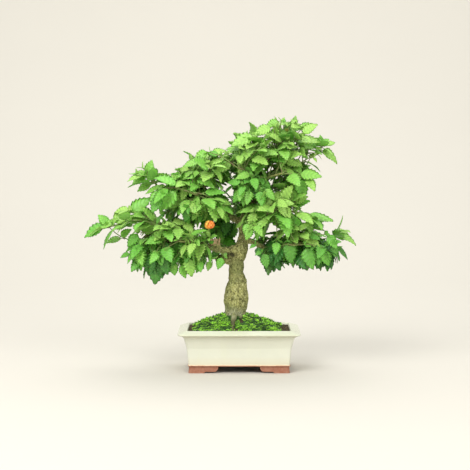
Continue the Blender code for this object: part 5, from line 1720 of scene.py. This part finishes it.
def leaf_blade(arch, fold, wave, bend):
    """(points, faces) and the chart of a toothed, veined, closed blade: X across, Y to its tip, Z up.

    The chart gives each corner's share across and along, and its underside lies BELOW further across.
    """
    half = LEAF_WIDTH / 2
    ribs = ((-1, 0), (-0.5, 1), (0, 1), (0.5, 1), (1, 0), (0.5, -1), (0, -1), (-0.5, -1))
    rings = []
    for k in range(1, LEAF_ROWS):
        tooth = k % 2
        along = k / LEAF_ROWS
        wide = leaf_width(along) * half
        ring = []
        for side, above in reversed(ribs):
            reach, y = wide * abs(side), along
            if abs(side) == 1:
                reach *= TOOTH_ACROSS[tooth]
                y += TOOTH_ALONG[tooth]
            y += BLADE_SWEEP * abs(side) * (1 - along)
            lift = -arch * y * y + fold * reach - 0.9 * fold * reach * reach / half * 0.35
            lift += wave * math.sin(9.0 * y + (2.2 if side > 0 else 0.0)) * abs(side)
            if abs(side) == 0.5:
                lift += BLADE_PUFF[tooth]
            if side == 0:
                lift -= MIDRIB_DIP
            lift += above * LEAF_THIN * (MIDRIB_KEEL if side == 0 and above < 0 else 1.0)
            ring.append(Vector((math.copysign(reach, side) + bend * y * y, y, lift)))
        rings.append(ring)
    shape = closed_loft(rings, (0.0, 0.0, 0.0), (bend, 1.0, -arch))
    spots = [(side, k / LEAF_ROWS) for k in range(1, LEAF_ROWS) for side, _ in reversed(ribs)]
    spots += [(0.0, 0.0), (0.0, 1.0)]
    chart = []
    for face in shape[1]:
        below = all(k % 8 < 4 for k in face if k < len(spots) - 2)
        chart += [(spots[k][0] + (BELOW if below else 0.0), spots[k][1]) for k in face]
    return shape, chart


@functools.cache
def leaf_kinds():
    """The blades that all leaves are picked from: flat to folded, straight to bent."""
    draw = random.Random(SEED + 9)
    ranges = ((0.10, 0.34), (0.12, 0.42), (0.0, 0.016), (-0.10, 0.10))
    return tuple(zip(*(leaf_blade(*(draw.uniform(*ends) for ends in ranges)) for _ in range(LEAF_KINDS))))


def turned_along(ahead, face):
    """Euler turn that takes Y to ahead and Z towards face."""
    ahead = ahead.normalized()
    up = (face - ahead * face.dot(ahead)).normalized()
    return Matrix((ahead.cross(up), ahead, up)).transposed().to_euler()


def place_shapes(name, places, shapes, charts, stems, scale, finish):
    """A piece of shapes set at places (point, turn, size, kind, tone), together with its stems."""
    mesh = bpy.data.meshes.new(name)
    mesh.from_pydata([tuple(place[0] + PLACE) for place in places], [], [])
    _, *marks = zip(*places)
    kinds = {"turn": "FLOAT_VECTOR", "size": "FLOAT", "kind": "INT", "tone": "FLOAT"}
    for (label, kind), values in zip(kinds.items(), marks):
        mark_points(mesh, label, values, kind)
    given = {"Scale": scale, "Material": finish, "Stems": stems}
    made = repeated(name, mesh, placing_tree(), shapes, charts, given)
    bpy.data.objects.remove(stems)
    return made


def leaf_places(leaves, tone, draw):
    """Where each blade goes, and the stalks that carry them."""
    places, stalks = [], []
    for root, along, blade, face, long, share_along in leaves:
        base = root + along * PETIOLE_LENGTH
        face = face - Vector((0, FRONT_TURN, 0)) if root.y < 0.02 else face
        age = tone + draw.gauss(0.0, 0.13) - (0.16 if share_along > 0.9 else 0.0)
        turn, kind = turned_along(blade, face), draw.randrange(LEAF_KINDS)
        places.append((base, turn, long, kind, min(1.0, max(0.0, age))))
        bow = root.lerp(base, 0.55) + Vector((0, 0, 0.0004))
        run = ((*root, 0.0007), (*bow, 0.0006), (*base, 0.00055), (*(base + blade * (0.07 * long)), 0.0003))
        stalks.append(tube(run, STALK_SIDES))
    return places, stalks


def tip_leaves(samples, draw, tone):
    """The small pair of unfolding leaves at a shoot's end."""
    end, before = Vector(samples[-1][:3]), Vector(samples[-2][:3])
    way = (end - before).normalized()
    side = way.orthogonal().normalized()
    side = (Matrix.Rotation(draw.uniform(0, math.pi), 3, way) @ side).normalized()
    places = []
    for sign in (1, -1):
        ahead = (way + side * sign * 0.75 + Vector((0, 0, 0.25))).normalized()
        face = (way * 0.8 - side * sign * 0.6 + Vector((0, 0, 0.4))).normalized()
        size = TIP_LEAF * draw.uniform(0.8, 1.25)
        turn, kind = turned_along(ahead, face), draw.randrange(LEAF_KINDS)
        places.append((end - way * 0.0006, turn, size, kind, max(0.0, tone - 0.25)))
    return places


def foliage_piece(name, shoots, settings, leaf, stem):
    """All the leafy shoots of one pad as one piece."""
    places, stems = [], []
    pad = PADS.get(name.removeprefix("foliage_"))
    for shoot, samples, leaves, tone in shoots:
        draw = random.Random(f"{SEED} looks {shoot}")
        tone = pad[-1][2] if tone is None else tone
        tone += draw.uniform(-0.06, 0.06)
        if pad:
            # partly age, partly painted light and shade: high leaves get a younger, paler tone, low ones an
            # older, darker one
            lift = (1000 * samples[-1][2] - pad[0][2]) / pad[1][2]
            tone -= HEIGHT_AGE_AND_SHADE * max(-1.0, min(1.0, lift))
        blades, stalks = leaf_places(leaves, tone, draw)
        places += blades + tip_leaves(samples, draw, tone)
        stems += [tube(smooth_route(samples, 3), FINE_TWIG_SIDES, 0.08), *stalks]
    bearing = mesh_object(name + "_stems", joined(stems), (stem,))
    return place_shapes(name, places, *leaf_kinds(), bearing, settings.leaf_scale, leaf)


# Flower and buds
def floret_shapes():
    """Florets a unit in radius: lobes above a narrow tube, in their own frame, Y up the tube."""
    draw = random.Random(SEED + 3)
    florets = []
    for kind in range(FLORET_KINDS):
        cup = draw.uniform(0.05, 0.25)
        rings = []
        profile = (
            (0.20, -1.45), (0.22, -0.35), (0.55, -0.10), (1.0, cup), (0.96, cup + 0.07), (0.5, 0.02),
            (0.16, -0.06),
        )
        for radius, high in profile:
            ring = []
            for turn in full_turn(FLORET_SIDES):
                lobe = 1.0 if radius < 0.4 else 0.74 + 0.26 * abs(math.cos(2 * turn + kind * 0.2)) ** 0.7
                rise = high + (0.07 * math.cos(4 * turn) * radius if radius > 0.4 else 0.0)
                ring.append(Vector((radius * lobe * math.sin(turn), rise, radius * lobe * math.cos(turn))))
            rings.append(ring)
        shape = closed_loft(rings, (0, -1.5, 0), (0, -0.30, 0))
        spans = [radius for radius, _ in profile for _ in range(FLORET_SIDES)] + [0.2, 0.0]
        florets.append((shape, [(spans[k], 0.0) for face in shape[1] for k in face]))
    return tuple(zip(*florets))


def flower_piece(settings):
    """A dense head of florets on a core, yellow at its left."""
    centre = Vector(FLOWER_AT)
    draw = random.Random(SEED + 4)
    petal = petal_material(settings)
    places = []
    for k, way in enumerate(dome_directions(FLOWER_FACES, HEAD_FLORETS, 1.9)):
        turn = turned_along(way, Vector((draw.uniform(-1, 1), 0.2, draw.uniform(-1, 1))))
        outer = way.x < -0.30
        young = 0.85 if outer else max(0.0, draw.gauss(0.06, 0.12))
        reach = FLOWER_RADIUS * draw.uniform(0.76, 1.04) * (1.18 if outer else 1.0)
        at = centre + Vector((way.x, way.y, way.z * 0.86)) * reach
        places.append((at, turn, FLORET_RADIUS * draw.uniform(0.85, 1.25), k % FLORET_KINDS, young))
    core = mesh_object("flower_core", ball(centre, FLOWER_RADIUS * 0.72, 1.0, FLOWER_FACES, 6, 12), (petal,))
    return place_shapes("lantana_flower_head", places, *floret_shapes(), core, settings.floret_scale, petal)


def flower_stalk_shape(twigs):
    """The stalk from its shoot up to the head."""
    way = Vector(FLOWER_FACES).normalized()
    top = Vector(FLOWER_AT) - way * (FLOWER_RADIUS * 0.6)
    foot = Vector(twigs["shoot_flower"][0][-1][:3])
    middle = (foot + top) / 2 + Vector((0, 0.001, 0))
    route = [(*foot, STALK_RADIUS), (*middle, STALK_RADIUS * 0.9), (*top, STALK_RADIUS * 1.3)]
    return tube(smooth_route(route, 5), 8)


def bud_heads(twigs):
    """Heads of closed buds, each on its stalk."""
    shapes = []
    for name, facing in BUD_HEADS:
        up = Vector(facing).normalized()
        _, side, across = frame_along(up)
        foot = Vector(twigs[name][0][-1][:3])
        top = foot + up * BUD_STALK
        shapes.append(tube(smooth_route([(*foot, STALK_RADIUS), (*top, STALK_RADIUS * 1.2)], 3), 8))
        shapes.append(ball(top, BUD_CORE, 1.0, (0.3, 0.2, 1.0), 5, 10))
        for ring, (count, lean) in enumerate(BUD_RINGS):
            for k in range(count):
                way = leaning(up, side, across, lean, 2 * math.pi * (k + 0.5 * ring) / count)
                shapes.append(ball(top + way * BUD_OUT, BUD_RADIUS, 1.7, way, 5, 8))
    return joined(shapes)


def stage_bowl():
    """The floor: flat in the middle, and rising all round."""
    turns = full_turn(STAGE_SIDES)
    rings = []
    for k in range(STAGE_STEPS + 1):
        turn = math.pi / 2 * k / STAGE_STEPS
        reach, height = STAGE_FLAT + STAGE_WIDE * math.sin(turn), STAGE_HIGH * (1 - math.cos(turn))
        rings.append([Vector((reach * math.cos(t), reach * math.sin(t), height)) for t in turns])
    points, faces = lofted(rings, False)
    faces = [tuple(reversed(face)) for face in faces]
    faces += [(k, (k + 1) % STAGE_SIDES, len(points)) for k in range(STAGE_SIDES)]
    return points + [Vector()], faces


# Operators
class BONSAI_OT_pot(bpy.types.Operator):
    """Make the glazed pot with its stepped clay feet"""

    bl_idname = "bonsai.pot"
    bl_label = "Make the pot"

    def execute(self, context):
        pot = pot_mesh()
        refinish(pot.data, glaze_material(context.scene.bonsai_pot))
        pot.data.shade_smooth()
        pot.data.set_sharp_from_angle(angle=math.radians(38))
        dress(pot, ("pot",))
        return {"FINISHED"}


class BONSAI_OT_soil(bpy.types.Operator):
    """Make the soil mound and the grit scattered on its bare parts"""

    bl_idname = "bonsai.soil"
    bl_label = "Make the soil"

    def execute(self, context):
        settings = context.scene.bonsai_ground
        ground = ground_grid(*SOIL_GRID, soil_point, FLOOR_TOP + 0.0004)
        soil = mesh_object("bonsai_soil", ground, (soil_material(settings),))
        mark_cover(soil.data, -1, SOIL_EDGE - 0.002)
        grit = repeated("bonsai_grit", soil.data.copy(), scattering_tree(), pebbles(), None, {
            "Spacing": settings.grain * 0.55, "Density": settings.grain_density, "Scale": settings.grain,
            "Material": grit_material(settings), "Least": -0.12,
        })
        dress(soil, ("soil",))
        dress(grit, ())
        return {"FINISHED"}


class BONSAI_OT_moss(bpy.types.Operator):
    """Make the moss carpet and its tufts"""

    bl_idname = "bonsai.moss"
    bl_label = "Make the moss"

    def execute(self, context):
        settings = context.scene.bonsai_ground
        finish = moss_material(settings)
        carpet = mesh_object("bonsai_moss", ground_grid(*MOSS_GRID, moss_point, SOIL_EDGE - 0.006), (finish,))
        mark_cover(carpet.data, 1, SOIL_EDGE - 0.001)
        # a low tone, so the carpet shows mostly the painted shade colour
        mark_points(carpet.data, "tone", [0.15] * len(carpet.data.vertices))
        tufts = repeated("bonsai_moss_tufts", carpet.data.copy(), scattering_tree(), moss_tufts(), None, {
            "Spacing": settings.tuft * 0.36, "Density": settings.tuft_density, "Scale": settings.tuft,
            "Material": finish, "Least": 0.02,
        })
        dress(carpet, ("moss",))
        dress(tufts, ())
        return {"FINISHED"}


class BONSAI_OT_drains(bpy.types.Operator):
    """Give the drain meshes and their wire clips their finishes"""

    bl_idname = "bonsai.drains"
    bl_label = "Finish the drains"

    def execute(self, context):
        plastic, wire = mesh_material(), wire_material()
        for side in ("left", "right"):
            for node, finish in (("drain_mesh_" + side, plastic), ("mesh_clip_" + side, wire)):
                refinish(frame["nodes"][node].data, finish)
        return {"FINISHED"}


class BONSAI_OT_wood(bpy.types.Operator):
    """Make the trunk, roots, branches and the torn stub"""

    bl_idname = "bonsai.wood"
    bl_label = "Make the wood"

    def execute(self, context):
        dress(wood_piece(context.scene.bonsai_wood), ("trunk_and_branches",))
        return {"FINISHED"}


class BONSAI_OT_foliage(bpy.types.Operator):
    """Make the leafy shoots, one piece for each pad and one for the long shoots"""

    bl_idname = "bonsai.foliage"
    bl_label = "Make the foliage"

    def execute(self, context):
        settings = context.scene.bonsai_foliage
        leaf = leaf_material(settings)
        stem = stem_material("green_stem", settings.stem, (0.16, 0.12, 0.06))
        shoots = grown()[1]
        missing = [node for node in frame["nodes"] if node.startswith("spray_")]
        for pad in (*PADS, "shoot"):
            mine = [shoot for shoot in shoots if shoot[0].startswith(pad + "_")]
            nodes = [node for node in ("spray_" + shoot[0] for shoot in mine) if node in frame["nodes"]]
            made = foliage_piece("foliage_" + pad, mine, settings, leaf, stem)
            dress(made, nodes)
            missing = [node for node in missing if node not in nodes]
        if missing:
            raise RuntimeError(f"no foliage stands for {missing}")
        return {"FINISHED"}


class BONSAI_OT_flower(bpy.types.Operator):
    """Make the flower head, its stalk and the head of closed buds"""

    bl_idname = "bonsai.flower"
    bl_label = "Make the flowers"

    def execute(self, context):
        settings = context.scene.bonsai_flower
        twigs = grown()[0]
        dress(flower_piece(settings), ("flower_head",))
        green = stem_material("flower_stalk_green", context.scene.bonsai_foliage.stem, (0.20, 0.22, 0.08))
        stalk = mesh_object("lantana_flower_stalk", flower_stalk_shape(twigs), (green,))
        dress(stalk, ("flower_stalk",))
        closed = stem_material("closed_buds", settings.bud, (0.42, 0.28, 0.05))
        dress(mesh_object("lantana_buds", bud_heads(twigs), (closed,)), ("bud_head_1",))
        return {"FINISHED"}


class BONSAI_OT_stage(bpy.types.Operator):
    """Make the pale floor, the soft lights and the camera"""

    bl_idname = "bonsai.stage"
    bl_label = "Make the stage"

    def execute(self, context):
        scene = context.scene
        settings = scene.bonsai_stage
        m = Finish("pale_floor", settings.floor, 0.8, 0.2)
        cloud = m.grain(1.5, 2.0)
        floor = m.done(m.mix(cloud, settings.floor, times(0.97, settings.floor)), m.bump(cloud, 0.1, 0.001))
        mesh_object("stage_floor", stage_bowl(), (floor,))
        for name, (at, aim, size, strength) in LIGHTS.items():
            lamp = bpy.data.lights.new(name, "AREA")
            lamp.size = size
            lamp.energy = strength * (settings.key_power if name == "key" else settings.fill_power)
            made = linked(name + "_light", lamp)
            made.location = at
            made.rotation_euler = (Vector(aim) - Vector(at)).to_track_quat("-Z", "Y").to_euler()
        world = bpy.data.worlds.new("even_light")
        world.use_nodes = True
        sky = world.node_tree.nodes["Background"]
        sky.inputs[0].default_value = (0.95, 0.97, 1.0, 1.0)
        sky.inputs[1].default_value = settings.sky
        scene.world = world
        lens = bpy.data.cameras.new("camera")
        lens.sensor_width = 36.0
        lens.lens = CAMERA_LENS
        lens.clip_end = 60.0
        camera = linked("camera", lens)
        camera.location = Vector(CAMERA_AT) + PLACE
        camera.rotation_euler = (math.pi / 2 - CAMERA_DOWN, 0.0, 0.0)
        scene.camera = camera
        scene.view_settings.view_transform = "Standard"
        return {"FINISHED"}


class BONSAI_PT_panel(bpy.types.Panel):
    """Lists the bonsai's operators"""

    bl_idname = "BONSAI_PT_panel"
    bl_label = "Lantana bonsai"
    bl_space_type = "VIEW_3D"
    bl_region_type = "UI"
    bl_category = "Bonsai"

    def draw(self, context):
        for operator in OPERATORS:
            self.layout.operator(operator.bl_idname)


SETTINGS = {
    "bonsai_pot": BonsaiPotSettings,
    "bonsai_ground": BonsaiGroundSettings,
    "bonsai_wood": BonsaiWoodSettings,
    "bonsai_foliage": BonsaiFoliageSettings,
    "bonsai_flower": BonsaiFlowerSettings,
    "bonsai_stage": BonsaiStageSettings,
}
OPERATORS = (
    BONSAI_OT_pot, BONSAI_OT_soil, BONSAI_OT_moss, BONSAI_OT_drains, BONSAI_OT_wood, BONSAI_OT_foliage,
    BONSAI_OT_flower, BONSAI_OT_stage,
)


def register():
    for kind in (*SETTINGS.values(), *OPERATORS, BONSAI_PT_panel):
        bpy.utils.register_class(kind)
    for name, kind in SETTINGS.items():
        setattr(bpy.types.Scene, name, bpy.props.PointerProperty(type=kind))


def unregister():
    for name in SETTINGS:
        delattr(bpy.types.Scene, name)
    for kind in reversed((*SETTINGS.values(), *OPERATORS, BONSAI_PT_panel)):
        bpy.utils.unregister_class(kind)


def main():
    noise.seed_set(NOISE_SEED)
    register()
    for operator in OPERATORS:
        group, name = operator.bl_idname.split(".")
        getattr(getattr(bpy.ops, group), name)()


if __name__ == "__main__":
    main()
